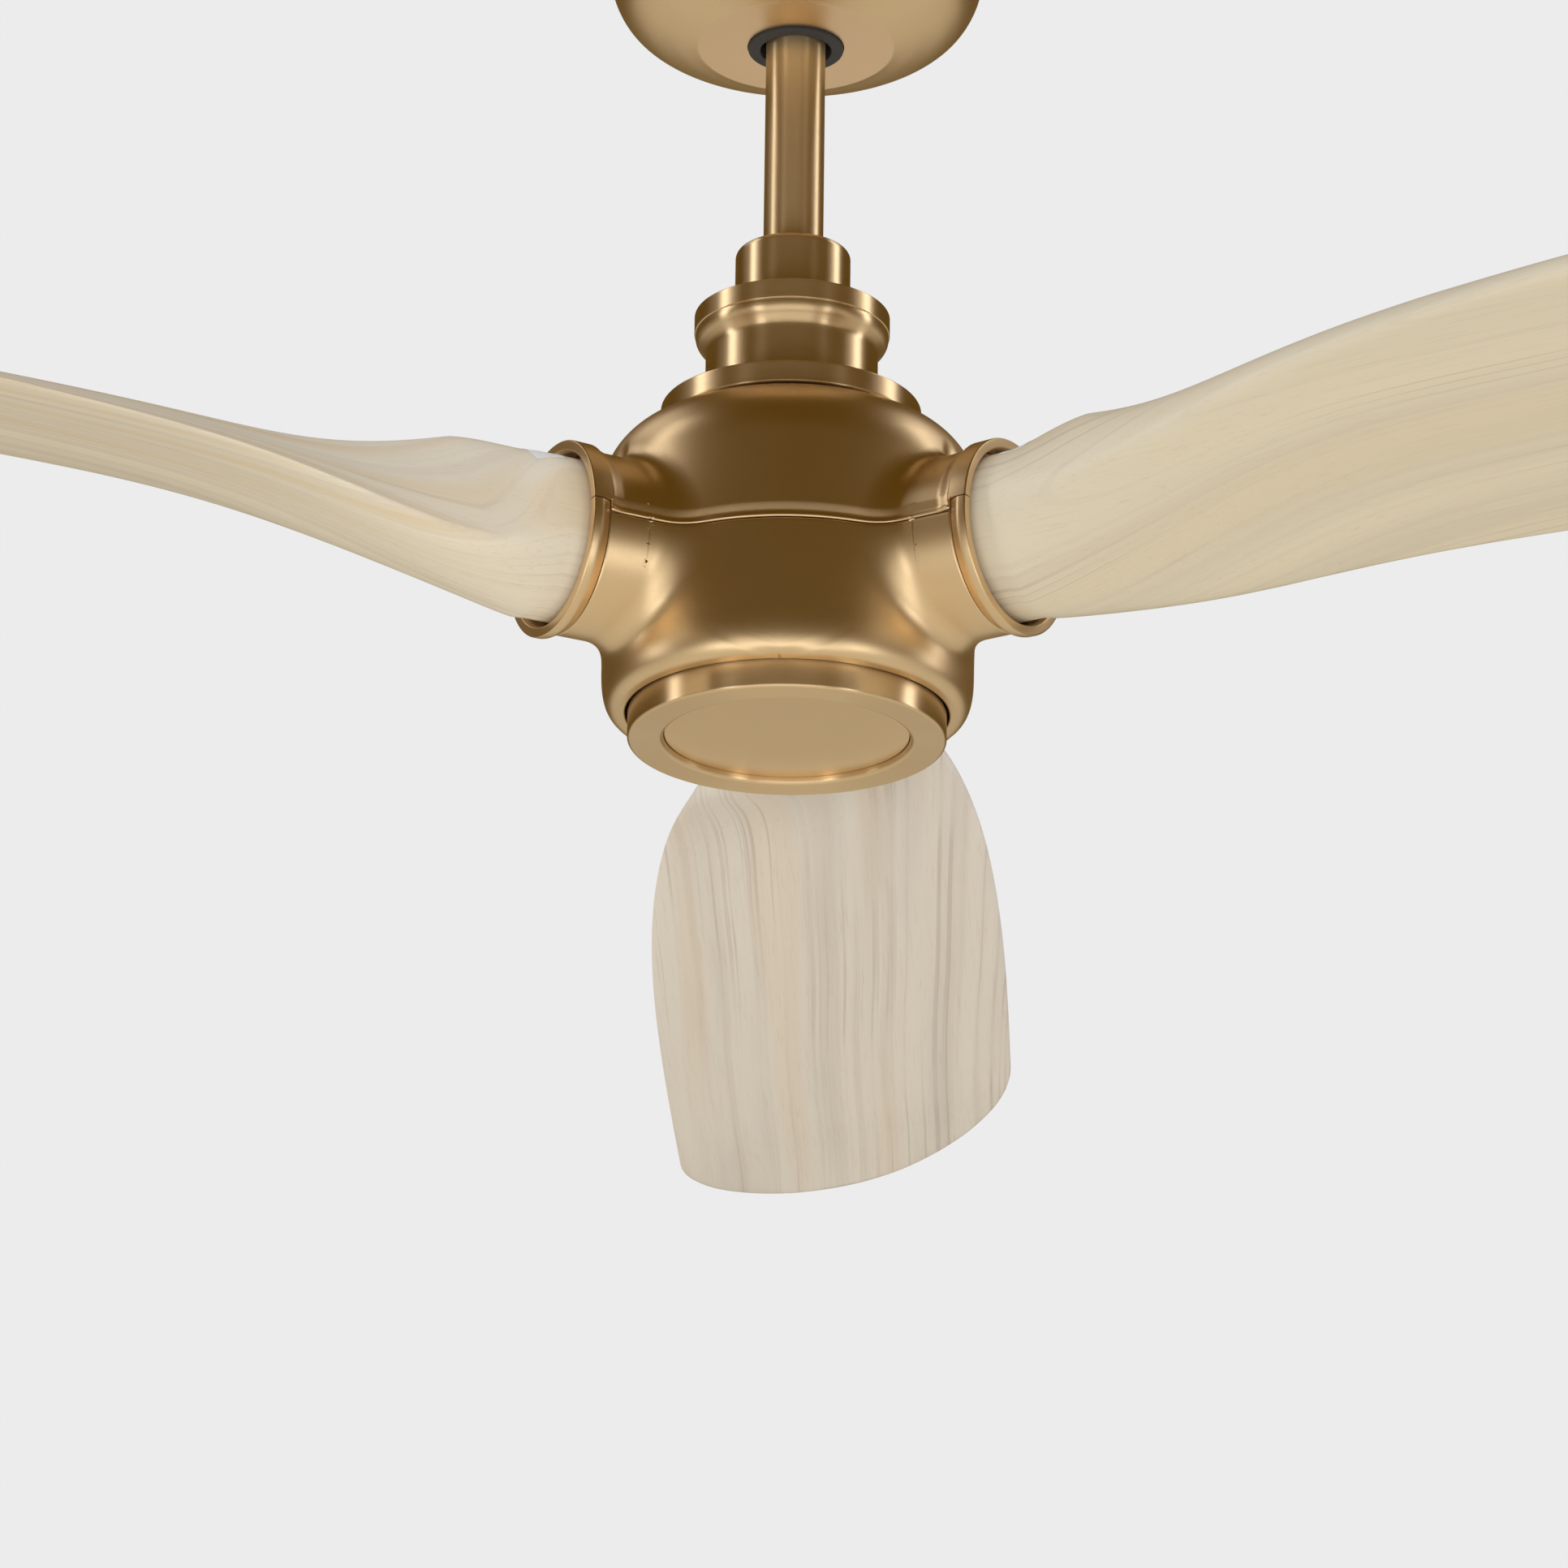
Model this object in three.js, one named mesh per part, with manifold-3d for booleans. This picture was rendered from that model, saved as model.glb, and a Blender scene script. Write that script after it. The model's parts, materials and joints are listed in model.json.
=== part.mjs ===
// Three-blade ceiling fan: a satin brass hub with sockets for three carved wooden blades, hung from a
// ceiling bracket by a short downrod. Millimetres, +Z up. The origin is the centre of the hanger
// bracket's ceiling face, so the fan hangs down towards -Z. Each blade runs out along its own azimuth.
import * as THREE from "three";
import { mergeVertices } from "three/addons/utils/BufferGeometryUtils.js";
import Module from "manifold-3d";

// ---- driving dimensions ----------------------------------------------------------------------
const SEAM_DROP = 262; // ceiling to the plane where the two hub shells meet
const SPAN_RADIUS = 762; // fan axis to blade tip, a 60 inch sweep
const BLADE_COUNT = 3;
const FIRST_BLADE_AZIMUTH = 90; // degrees
const GAP = 0.3; // clearance between pieces that touch
const RUNNING_GAP = 0.5; // clearance beside a turning piece

// Hub, heights measured from the seam plane.
const BARREL_RADIUS = 66;
const BARREL_LOW_RADIUS = 64.5;
const SHOULDER_HEIGHT = 33; // where the dome starts to round over
const DOME_TOP = 57.3;
const DOME_TOP_RADIUS = 40;
const DOME_HOLE_RADIUS = 20;
const BELLY_HEIGHT = -32; // where the lower shell starts to round under
const BELLY_BOTTOM = -48;
const BELLY_MOUTH_RADIUS = 55.8;
const MOUTH_LIP = 1.7;
const SHELL_WALL = 3;
const SHELL_LEDGE_LOW = 33.8; // ring inside the upper shell that rests on the rotor can's flange
const SHELL_LEDGE_HIGH = 37;
const SHELL_FLANGE_LOW = -44; // ring inside the lower shell that the shell screws pull on
const SHELL_FLANGE_HIGH = -41;
const SHELL_SCREW_RADIUS = 53; // distance of the shell screws from the axis
const SCREW_SHANK = 2;
const SCREW_HOLE = 2.4;

// Blade sockets, distances measured along the blade from the fan axis.
const SOCKET_RADIUS = 32.2;
const SOCKET_BORE = 30.3;
const SOCKET_FILLET = 9;
const SOCKET_INNER_END = 20;
const SOCKET_FILLET_START = 57;
const COLLAR_RADIUS = 34.4;
const COLLAR_INNER_END = 85;
const COLLAR_OUTER_END = 91.7;
const COLLAR_SEAM = 3.4; // the collar's own joint sits above the shell seam
const CLAMP_GAP = 0.35;

// Flats that stand for a full circle.
const HUB_SIDES = 24;
const SOCKET_SIDES = 16;

// Blades.
const ROOT_RADIUS = 29.2;
const ROOT_START = 51;
const BLADE_SCREW_AT = 76; // distance of the blade's own screw from the fan axis

// Static pieces above and below the turning hub.
const TOP_PLATE_RADIUS = 45.8;
const TOP_PLATE_BOTTOM = 58.2;
const TOP_PLATE_TOP = 66.2;
const COVER_NECK_RADIUS = 30.4;
const COVER_RIM_RADIUS = 34.55;
const COVER_RIM_BOTTOM = 94.2;
const COVER_TOP = 102.15;
const COVER_WALL = 2;
const COVER_HOLE = 17;
const COVE_START = 87.5; // where the cover's neck starts to widen into its rim
const COVE_END = 93.6;
const COLLAR_PIPE_RADIUS = 20.4;
const COLLAR_PIPE_TOP = 127;
const HOUSING_RADIUS = 55.15;
const HOUSING_BOTTOM = -57.55;
const HOUSING_TOP = -45;
const RECESS_RADIUS = 42.7;
const CAP_FACE = -54.9;
const CAP_THICKNESS = 0.5;
const HOUSING_WALL = 3;
const HOUSING_FLOOR_LOW = -49.4;
const HOUSING_FLOOR_HIGH = -46.6;

// Downrod, hanger ball and canopy.
const ROD_RADIUS = 10.65;
const ROD_BORE = 7.9;
const ROD_BOTTOM = 86;
const ROD_LENGTH = 152.4;
const BALL_RADIUS = 22;
const BALL_HEIGHT = 230;
const BALL_BORE = 11.7;
const PIN_RADIUS = 3;
const CLEVIS_HEIGHT = 94;
const SET_SCREW_HEIGHT = 75;
const SET_SCREW_RADIUS = 2.5;
const SET_SCREW_HOLE = 2.8;
const COUPLING_RADIUS = 16;
const COUPLING_TOP = 106;
const COUPLING_SHOULDER = 85; // the downrod stands on this height inside the coupling
const CANOPY_RADIUS = 68;
const CANOPY_BOTTOM = 208.4;
const CANOPY_HOLE = 17.4;
const CANOPY_WALL = 1.2;
const BUSHING_RADIUS = 17.1;
const BUSHING_BORE = 12.7;

// Motor.
const SHAFT_RADIUS = 7.2;
const SHAFT_BORE = 4;
const STATOR_RADIUS = 38;
const STATOR_BOTTOM = -9;
const STATOR_TOP = 15;
const STATOR_TEETH = 12;
const MAGNET_BORE = 38.7;
const CAN_BORE = 44.4;
const CAN_RADIUS = 47.5;
const BEARING_RADIUS = 16;
const BEARING_WIDTH = 9;
const UPPER_BEARING = 24;
const LOWER_BEARING = -29;
const RACE_WALL = 2.6;
const SHAFT_BOTTOM = -54.3;
const SHAFT_TOP = 83.5;
const TOOTH_ROOT_RADIUS = 19; // radii of the stator's hub, tooth neck and tooth foot
const TOOTH_NECK_RADIUS = 33;
const TOOTH_FOOT_RADIUS = 34.5;
const BOSS_RADIUS = 19.5;
const CAN_FLANGE_RADIUS = 57;
const CAN_FLANGE_TOP = 33.5;
const CAN_BOTTOM = -18;
const CAN_WALL = 3;

// ---- materials -------------------------------------------------------------------------------
const metal = (color, roughness) =>
  new THREE.MeshStandardMaterial({ color, roughness, metalness: 1 });
const dull = (color, roughness) =>
  new THREE.MeshStandardMaterial({ color, roughness, metalness: 0 });
const BRASS = metal(0xb08a52, 0.34);
const STEEL = metal(0x9a9ca0, 0.4);
const IRON = metal(0x5a5c60, 0.55);
const ALUMINIUM = metal(0xb9bcc0, 0.45);
const COPPER = metal(0xb87333, 0.4);
const WOOD = dull(0xd9c9aa, 0.5);
const RUBBER = dull(0x3a3b3e, 0.8);
const PLASTIC = dull(0xe6e4de, 0.6);
const LABEL = dull(0xf0efeb, 0.7);

// ---- solids ----------------------------------------------------------------------------------
const wasm = await Module();
wasm.setup();

const radians = THREE.MathUtils.degToRad;

function solid(geometry) {
  const bare = new THREE.BufferGeometry();
  bare.setAttribute("position", geometry.getAttribute("position"));
  bare.setIndex(geometry.getIndex());
  const merged = mergeVertices(bare, 1e-4);
  return new wasm.Manifold(
    new wasm.Mesh({
      numProp: 3,
      vertProperties: merged.attributes.position.array,
      triVerts: new Uint32Array(merged.index.array),
    }),
  );
}

function geometryOf(manifold) {
  const mesh = manifold.getMesh();
  const geometry = new THREE.BufferGeometry();
  geometry.setAttribute("position", new THREE.BufferAttribute(mesh.vertProperties, 3));
  geometry.setIndex(new THREE.BufferAttribute(mesh.triVerts, 1));
  return geometry;
}

const join = (first, ...rest) =>
  geometryOf(rest.reduce((sum, next) => sum.add(solid(next)), solid(first)));
const cut = (first, ...tools) =>
  geometryOf(tools.reduce((left, tool) => left.subtract(solid(tool)), solid(first)));
const common = (first, second) => geometryOf(solid(first).intersect(solid(second)));

// Turns an outline of [radius, height] points about Z. The outline runs anticlockwise.
function turned(outline, segments = 40) {
  const points = outline.map(([radius, height]) => new THREE.Vector2(radius, height));
  if (outline[0][0] > 0) points.push(points[0].clone());
  return new THREE.LatheGeometry(points, segments).rotateX(Math.PI / 2);
}

const ring = (inner, outer, low, high, segments) =>
  turned([[inner, low], [outer, low], [outer, high], [inner, high]], segments);
const disc = (radius, low, high, segments) =>
  turned([[0, low], [radius, low], [radius, high], [0, high]], segments);
const box = (x, y, z, cx, cy, cz) => new THREE.BoxGeometry(x, y, z).translate(cx, cy, cz);

// Lays a solid turned about Z along +X.
const alongX = (geometry) => geometry.rotateY(Math.PI / 2);

// A cylinder along X, from one x to another, at a height.
const rodX = (radius, from, to, height, segments = 16) =>
  alongX(disc(radius, from, to, segments)).translate(0, 0, height);

// Points of an elliptic quarter from [r0, z0], where it runs upright, to [r1, z1], where it lies flat.
function quarter(r0, z0, r1, z1, power, steps) {
  const points = [];
  for (let i = 0; i <= steps; i++) {
    const angle = (i / steps) * (Math.PI / 2);
    const run = Math.cos(angle) ** (2 / power);
    const rise = Math.sin(angle) ** (2 / power);
    points.push([r1 + (r0 - r1) * run, z0 + (z1 - z0) * rise]);
  }
  return points;
}

// ---- scene graph -----------------------------------------------------------------------------
const fan = new THREE.Group();
const drop = new THREE.Group(); // everything that is measured from the seam plane
drop.position.z = -SEAM_DROP;
fan.add(drop);

function add(group, name, geometry, material) {
  const mesh = new THREE.Mesh(geometry, material);
  mesh.name = name;
  group.add(mesh);
  return mesh;
}

const bladeArms = Array.from({ length: BLADE_COUNT }, (_, i) => {
  const arm = new THREE.Group(); // +X runs out along the blade
  arm.rotation.z = radians(FIRST_BLADE_AZIMUTH + (360 / BLADE_COUNT) * i);
  drop.add(arm);
  return arm;
});
const aroundHub = (geometry) =>
  bladeArms.map((arm) => geometry.clone().rotateZ(arm.rotation.z));

// ---- hub shells ------------------------------------------------------------------------------
function barrel(inset, mouthRadius) {
  const dome = quarter(
    BARREL_RADIUS - inset, SHOULDER_HEIGHT, DOME_TOP_RADIUS - inset, DOME_TOP - inset, 2, 3);
  const belly = quarter(
    BARREL_LOW_RADIUS - inset, BELLY_HEIGHT, mouthRadius, BELLY_BOTTOM, 2.4, 3);
  return [...belly.reverse(), ...dome];
}

function socket() {
  const foot = SOCKET_RADIUS + SOCKET_FILLET;
  const flare = quarter(
    SOCKET_RADIUS, SOCKET_FILLET_START + SOCKET_FILLET, foot, SOCKET_FILLET_START, 2, 2);
  return alongX(
    turned([[0, SOCKET_INNER_END], [foot, SOCKET_INNER_END], ...flare.reverse(),
      [SOCKET_RADIUS, COLLAR_OUTER_END], [0, COLLAR_OUTER_END]], SOCKET_SIDES));
}

const outerBarrel = turned(
  [[0, BELLY_BOTTOM], ...barrel(0, BELLY_MOUTH_RADIUS + MOUTH_LIP), [0, DOME_TOP]], HUB_SIDES);
const innerBarrel = turned(
  [[0, BELLY_BOTTOM - 5], [BELLY_MOUTH_RADIUS, BELLY_BOTTOM - 5],
    ...barrel(SHELL_WALL, BELLY_MOUTH_RADIUS),
    [0, DOME_TOP - SHELL_WALL]], HUB_SIDES);
const bore = alongX(disc(SOCKET_BORE, SOCKET_INNER_END, COLLAR_OUTER_END + 5, SOCKET_SIDES));
const collarBand = alongX(
  ring(SOCKET_RADIUS - 1, COLLAR_RADIUS, COLLAR_INNER_END, COLLAR_OUTER_END, SOCKET_SIDES));
const clampZone = alongX(ring(
  SOCKET_BORE - 1, COLLAR_RADIUS + 2,
  COLLAR_INNER_END - CLAMP_GAP, COLLAR_OUTER_END + 1, SOCKET_SIDES));

const hubBody = join(outerBarrel, ...aroundHub(socket()), ...aroundHub(collarBand));
const hubSkin = cut(hubBody, innerBarrel, ...aroundHub(bore));
const above = (height) => box(300, 300, 100, 0, 0, height + 50);
const below = (height) => box(300, 300, 100, 0, 0, height - 50);
const lowerClampZone = common(clampZone, below(COLLAR_SEAM + CLAMP_GAP));

const shellLedge = ring(
  CAN_RADIUS + GAP, BARREL_RADIUS - 2, SHELL_LEDGE_LOW, SHELL_LEDGE_HIGH, HUB_SIDES);
const shellFlange = ring(
  CAN_RADIUS + GAP, BARREL_LOW_RADIUS - 2, SHELL_FLANGE_LOW, SHELL_FLANGE_HIGH, HUB_SIDES);
const domeTop = ring(
  DOME_HOLE_RADIUS, DOME_TOP_RADIUS, DOME_TOP - SHELL_WALL, DOME_TOP, HUB_SIDES);
const shellScrewHoles = aroundHub(
  disc(SCREW_HOLE, -60, 60, 8).translate(-SHELL_SCREW_RADIUS, 0, 0));
const bladeScrewHoles = aroundHub(disc(SCREW_HOLE, 0, 60, 8).translate(BLADE_SCREW_AT, 0, 0));

const upperShell = cut(
  join(common(hubSkin, above(GAP / 2)), domeTop, cut(shellLedge, ...aroundHub(bore))),
  disc(DOME_HOLE_RADIUS, DOME_TOP - 9, DOME_TOP + 2, HUB_SIDES),
  ...aroundHub(lowerClampZone), ...shellScrewHoles, ...bladeScrewHoles);
const lowerShell = cut(
  join(common(hubSkin, below(-GAP / 2)), shellFlange),
  ...aroundHub(clampZone), ...shellScrewHoles);

add(drop, "hub_upper_shell", upperShell, BRASS);
add(drop, "hub_lower_shell", lowerShell, BRASS);

// The lower half of each socket's end ring is its own clamp.
const clampHalf = common(
  alongX(ring(SOCKET_BORE, COLLAR_RADIUS, COLLAR_INNER_END, COLLAR_OUTER_END, SOCKET_SIDES)),
  below(COLLAR_SEAM));
bladeArms.forEach((arm, i) => add(arm, "blade_clamp_" + (i + 1), clampHalf, BRASS));

// Three long screws between the sockets pull both shells and the motor can together.
const SHELL_SCREW_TOP = 36.5;
const SHELL_SCREW_HEAD = 4;
const shellScrewHeadTop = SHELL_FLANGE_LOW - GAP;
const shellScrew = join(
  disc(SCREW_SHANK, shellScrewHeadTop - 0.3, SHELL_SCREW_TOP, 10),
  disc(SHELL_SCREW_HEAD, shellScrewHeadTop - 1.9, shellScrewHeadTop, 10),
).translate(-SHELL_SCREW_RADIUS, 0, 0);
bladeArms.forEach((arm, i) => add(arm, "shell_screw_" + (i + 1), shellScrew, STEEL));

// ---- blades ----------------------------------------------------------------------------------
// The shank is round where it sits in the socket and flattens into a broad twisted paddle. Looking
// outwards, the right-hand edge leads and stands high, and the left-hand edge trails and hangs low.
const FLARE_START = 96;
const PADDLE_CHORD = 160;
const PITCH_AT_ROOT = 24.5; // degrees
const PITCH_AT_TIP = 12;
const LEADING_ROUND_START = 635;
const TRAILING_ROUND_START = 675;
const CHORD_RUN = 155; // how far out the blade takes to widen
const CHORD_POWER = 1.15;
const PADDLE_THICKNESS = 29;
const THICKNESS_TAPER = 0.034; // lost per millimetre of run
const SHANK_RUN = 75; // how far out the round shank takes to flatten
const MIDDLE_OFFSET = 2;
const TIP_THINNING = 2.2;

function bladeAt(distance) {
  const run = Math.max(0, distance - FLARE_START);
  const growth = 1 - Math.exp(-((run / CHORD_RUN) ** CHORD_POWER));
  const half = ROOT_RADIUS + (PADDLE_CHORD / 2 - ROOT_RADIUS) * growth;
  const shank = (2 * ROOT_RADIUS - PADDLE_THICKNESS) * Math.exp(-((run / SHANK_RUN) ** 2));
  const thickness = PADDLE_THICKNESS - THICKNESS_TAPER * run + shank;
  const rounding = (start) => {
    const past = Math.max(0, (distance - start) / (SPAN_RADIUS - start));
    return Math.sqrt(1 - past ** 2);
  };
  const lead = half * rounding(LEADING_ROUND_START);
  const trail = half * rounding(TRAILING_ROUND_START);
  const untwisting = (PITCH_AT_TIP - PITCH_AT_ROOT) * (run / (SPAN_RADIUS - FLARE_START));
  return {
    middle: (trail - lead) / 2 + MIDDLE_OFFSET * growth,
    halfChord: (trail + lead) / 2,
    halfThickness: (thickness / 2) * Math.min(1, TIP_THINNING * (trail + lead) / PADDLE_CHORD),
    pitch: radians(PITCH_AT_ROOT + untwisting),
  };
}

const BLADE_POINTS = 16; // round one section

function bladeSection(distance) {
  const { middle, halfChord, halfThickness, pitch } = bladeAt(distance);
  return Array.from({ length: BLADE_POINTS }, (_, k) => {
    const angle = (k / BLADE_POINTS) * 2 * Math.PI;
    const across = halfChord * Math.cos(angle);
    const up = halfThickness * Math.sin(angle);
    return [
      distance,
      middle + across * Math.cos(pitch) + up * Math.sin(pitch),
      up * Math.cos(pitch) - across * Math.sin(pitch),
    ];
  });
}

// Joins sections of equal length into one closed skin, with a flat face over each end.
function lofted(sections) {
  const count = sections[0].length;
  const faces = [];
  for (let s = 0; s < sections.length - 1; s++)
    for (let k = 0; k < count; k++) {
      const here = s * count + k;
      const next = s * count + ((k + 1) % count);
      faces.push(here, next, here + count, next, next + count, here + count);
    }
  const last = (sections.length - 1) * count;
  for (let k = 1; k < count - 1; k++) {
    faces.push(0, k + 1, k);
    faces.push(last, last + k, last + k + 1);
  }
  const geometry = new THREE.BufferGeometry();
  geometry.setAttribute("position", new THREE.Float32BufferAttribute(sections.flat(2), 3));
  geometry.setIndex(faces);
  return geometry;
}

const bladeDistances = [
  ROOT_START, FLARE_START, 112, 130, 150, 180, 220, 280, 360, 450, 530, 590,
  640, 680, 712, 736, 753, SPAN_RADIUS - 0.5];
const BLADE_SCREW_END = 14;
const BLADE_SCREW_HEAD = 4.2;
const bladeScrewBore = disc(SCREW_HOLE, BLADE_SCREW_END - 2, 40, 8).translate(BLADE_SCREW_AT, 0, 0);
const blade = cut(lofted(bladeDistances.map(bladeSection)), bladeScrewBore);
const bladeScrew = turned([
  [0, BLADE_SCREW_END], [SCREW_SHANK, BLADE_SCREW_END],
  [SCREW_SHANK, SOCKET_RADIUS + GAP], [BLADE_SCREW_HEAD, SOCKET_RADIUS + GAP],
  [BLADE_SCREW_HEAD, SOCKET_RADIUS + 1.8], [BLADE_SCREW_HEAD - 1.2, SOCKET_RADIUS + 2.6],
  [0, SOCKET_RADIUS + 2.6]], 10);

const LABEL_START = 96;
const LABEL_LENGTH = 10;
const LABEL_RADIUS = 31.4;
const balanceLabel = common(
  alongX(ring(LABEL_RADIUS, LABEL_RADIUS + 0.5, LABEL_START, LABEL_START + LABEL_LENGTH, 36)),
  box(40, 36, 20, LABEL_START, 0, 36));

bladeArms.forEach((arm, i) => {
  add(arm, "blade_" + (i + 1), blade, WOOD);
  add(arm, "balance_label_" + (i + 1), balanceLabel, LABEL);
  add(arm, "blade_screw_" + (i + 1), bladeScrew, STEEL).position.x = BLADE_SCREW_AT;
});

// ---- motor -----------------------------------------------------------------------------------
const motorShaft = ring(SHAFT_BORE, SHAFT_RADIUS, SHAFT_BOTTOM, SHAFT_TOP, 16);
add(drop, "motor_shaft", motorShaft, STEEL);

// Laminated stator: a hub, straight teeth and a wide foot on each tooth.
function statorOutline() {
  const shape = new THREE.Shape();
  const pitch = (2 * Math.PI) / STATOR_TEETH;
  const at = (radius, angle) => [radius * Math.cos(angle), radius * Math.sin(angle)];
  for (let tooth = 0; tooth < STATOR_TEETH; tooth++) {
    const middle = tooth * pitch;
    const corners = [ // radius, and share of one tooth's pitch to either side
      [TOOTH_ROOT_RADIUS, -0.3], [TOOTH_NECK_RADIUS, -0.16],
      [TOOTH_FOOT_RADIUS, -0.42], [STATOR_RADIUS, -0.42],
      [STATOR_RADIUS, 0.42], [TOOTH_FOOT_RADIUS, 0.42],
      [TOOTH_NECK_RADIUS, 0.16], [TOOTH_ROOT_RADIUS, 0.3]];
    corners.forEach(([radius, share], i) => {
      const [x, y] = at(radius, middle + share * pitch);
      if (tooth === 0 && i === 0) shape.moveTo(x, y);
      else shape.lineTo(x, y);
    });
  }
  shape.closePath();
  const centre = new THREE.Path();
  centre.absarc(0, 0, SHAFT_RADIUS + GAP, 0, 2 * Math.PI, true);
  shape.holes.push(centre);
  return shape;
}
const statorCore = new THREE.ExtrudeGeometry(statorOutline(), {
  depth: STATOR_TOP - STATOR_BOTTOM,
  bevelEnabled: false,
  curveSegments: 12,
}).translate(0, 0, STATOR_BOTTOM);
add(drop, "stator_core", statorCore, IRON);

// The copper fills the slots as bars that join an end winding below to one above.
const COIL_BAR_RADIUS = 26;
const COIL_BAR_DEPTH = 9;
const COIL_BAR_WIDTH = 3.6;
const END_WINDING = 5;
const coilBars = Array.from({ length: STATOR_TEETH }, (_, i) =>
  box(COIL_BAR_DEPTH, COIL_BAR_WIDTH, STATOR_TOP - STATOR_BOTTOM + 4,
    COIL_BAR_RADIUS, 0, (STATOR_TOP + STATOR_BOTTOM) / 2)
    .rotateZ(radians((i + 0.5) * (360 / STATOR_TEETH))));
const endWinding = (low, high) =>
  ring(TOOTH_ROOT_RADIUS + 1, TOOTH_NECK_RADIUS - 0.5, low, high, 16);
const windings = join(
  endWinding(STATOR_TOP + GAP, STATOR_TOP + END_WINDING),
  endWinding(STATOR_BOTTOM - END_WINDING, STATOR_BOTTOM - GAP),
  ...coilBars);
add(drop, "stator_windings", windings, COPPER);

const magnetRing = ring(MAGNET_BORE, CAN_BORE - GAP, STATOR_BOTTOM - 2, STATOR_TOP + 2, 24);
add(drop, "magnet_ring", magnetRing, IRON);

// The can and its cover carry the bearings' outer races, and the can's flange carries the shells.
const bearingSeat = BEARING_RADIUS + GAP;
const canFlangeBottom = CAN_FLANGE_TOP - CAN_WALL;
const rotorCan = turned([
  [CAN_RADIUS, CAN_BOTTOM], [CAN_RADIUS, canFlangeBottom], [CAN_FLANGE_RADIUS, canFlangeBottom],
  [CAN_FLANGE_RADIUS, CAN_FLANGE_TOP], [bearingSeat, CAN_FLANGE_TOP],
  [bearingSeat, UPPER_BEARING + 0.5], [BOSS_RADIUS, UPPER_BEARING + 0.5],
  [CAN_BORE, canFlangeBottom - CAN_WALL], [CAN_BORE, CAN_BOTTOM]], 24);
add(drop, "rotor_can", cut(rotorCan, ...shellScrewHoles), ALUMINIUM);
const coverTop = CAN_BOTTOM - GAP;
const coverBottom = coverTop - CAN_WALL;
const rotorCover = turned([
  [bearingSeat, LOWER_BEARING], [BOSS_RADIUS, LOWER_BEARING], [BOSS_RADIUS, coverBottom],
  [CAN_RADIUS, coverBottom], [CAN_RADIUS, coverTop], [bearingSeat, coverTop]], 24);
add(drop, "rotor_cover", rotorCover, ALUMINIUM);

function bearing(name, low) {
  const high = low + BEARING_WIDTH;
  const bore = SHAFT_RADIUS + GAP;
  const innerEdge = bore + RACE_WALL - 0.1;
  const outerEdge = BEARING_RADIUS - RACE_WALL;
  add(drop, name + "_inner_race", ring(bore, innerEdge, low, high, 16), STEEL);
  add(drop, name + "_outer_race", ring(outerEdge, BEARING_RADIUS, low, high, 16), STEEL);
  add(drop, name + "_cage", ring(innerEdge + 0.7, outerEdge - 0.8, low + 2, high - 2, 16), STEEL);
}
bearing("bearing_upper", UPPER_BEARING);
bearing("bearing_lower", LOWER_BEARING);

// ---- static housing below the hub --------------------------------------------------------------
const switchHousing = turned([
  [SHAFT_RADIUS + GAP, HOUSING_FLOOR_LOW], [HOUSING_RADIUS - 5, HOUSING_FLOOR_LOW],
  [RECESS_RADIUS, CAP_FACE - 0.6], [RECESS_RADIUS, HOUSING_BOTTOM + 0.6],
  [RECESS_RADIUS + 0.6, HOUSING_BOTTOM], [HOUSING_RADIUS - 1, HOUSING_BOTTOM],
  [HOUSING_RADIUS, HOUSING_BOTTOM + 1], [HOUSING_RADIUS, HOUSING_TOP - 2],
  [HOUSING_RADIUS - HOUSING_WALL, HOUSING_TOP - 2],
  [HOUSING_RADIUS - HOUSING_WALL, HOUSING_FLOOR_HIGH],
  [SHAFT_RADIUS + GAP, HOUSING_FLOOR_HIGH]], 32);
add(drop, "switch_housing", switchHousing, BRASS);

const NUT_RADIUS = 11;
const NUT_HEIGHT = 3.6;
const nutTop = HOUSING_FLOOR_LOW - 0.4;
const shaftNut = cut(
  disc(NUT_RADIUS, nutTop - NUT_HEIGHT, nutTop, 6),
  disc(SHAFT_RADIUS + GAP, nutTop - NUT_HEIGHT - 1, nutTop + 1, 16));
add(drop, "shaft_nut", shaftNut, STEEL);

const bottomCap = turned([
  [0, CAP_FACE], [RECESS_RADIUS - GAP, CAP_FACE], [RECESS_RADIUS - GAP, CAP_FACE + CAP_THICKNESS],
  [0, CAP_FACE + CAP_THICKNESS]], 28);
add(drop, "bottom_cap", bottomCap, BRASS);

// ---- static pieces above the hub ---------------------------------------------------------------
const topPlate = turned([
  [SHAFT_RADIUS + GAP, TOP_PLATE_BOTTOM], [TOP_PLATE_RADIUS - 0.5, TOP_PLATE_BOTTOM],
  [TOP_PLATE_RADIUS, TOP_PLATE_BOTTOM + 0.5], [TOP_PLATE_RADIUS, TOP_PLATE_TOP - 0.8],
  [TOP_PLATE_RADIUS - 0.8, TOP_PLATE_TOP], [SHAFT_RADIUS + GAP, TOP_PLATE_TOP]], 28);
add(drop, "top_plate", topPlate, BRASS);

// The coupling takes the shaft from below and the downrod from above, held by a cross pin.
const coupling = cut(
  turned([
    [SHAFT_RADIUS + GAP, TOP_PLATE_TOP + GAP], [COUPLING_RADIUS, TOP_PLATE_TOP + GAP],
    [COUPLING_RADIUS, COUPLING_TOP], [ROD_RADIUS + GAP, COUPLING_TOP],
    [ROD_RADIUS + GAP, COUPLING_SHOULDER], [SHAFT_RADIUS + GAP, COUPLING_SHOULDER]], 20),
  rodX(PIN_RADIUS + GAP, -20, 20, CLEVIS_HEIGHT, 10),
  rodX(SET_SCREW_HOLE, -20, 20, SET_SCREW_HEIGHT, 8).rotateZ(Math.PI / 2));
add(drop, "motor_coupling", coupling, STEEL);

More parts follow.
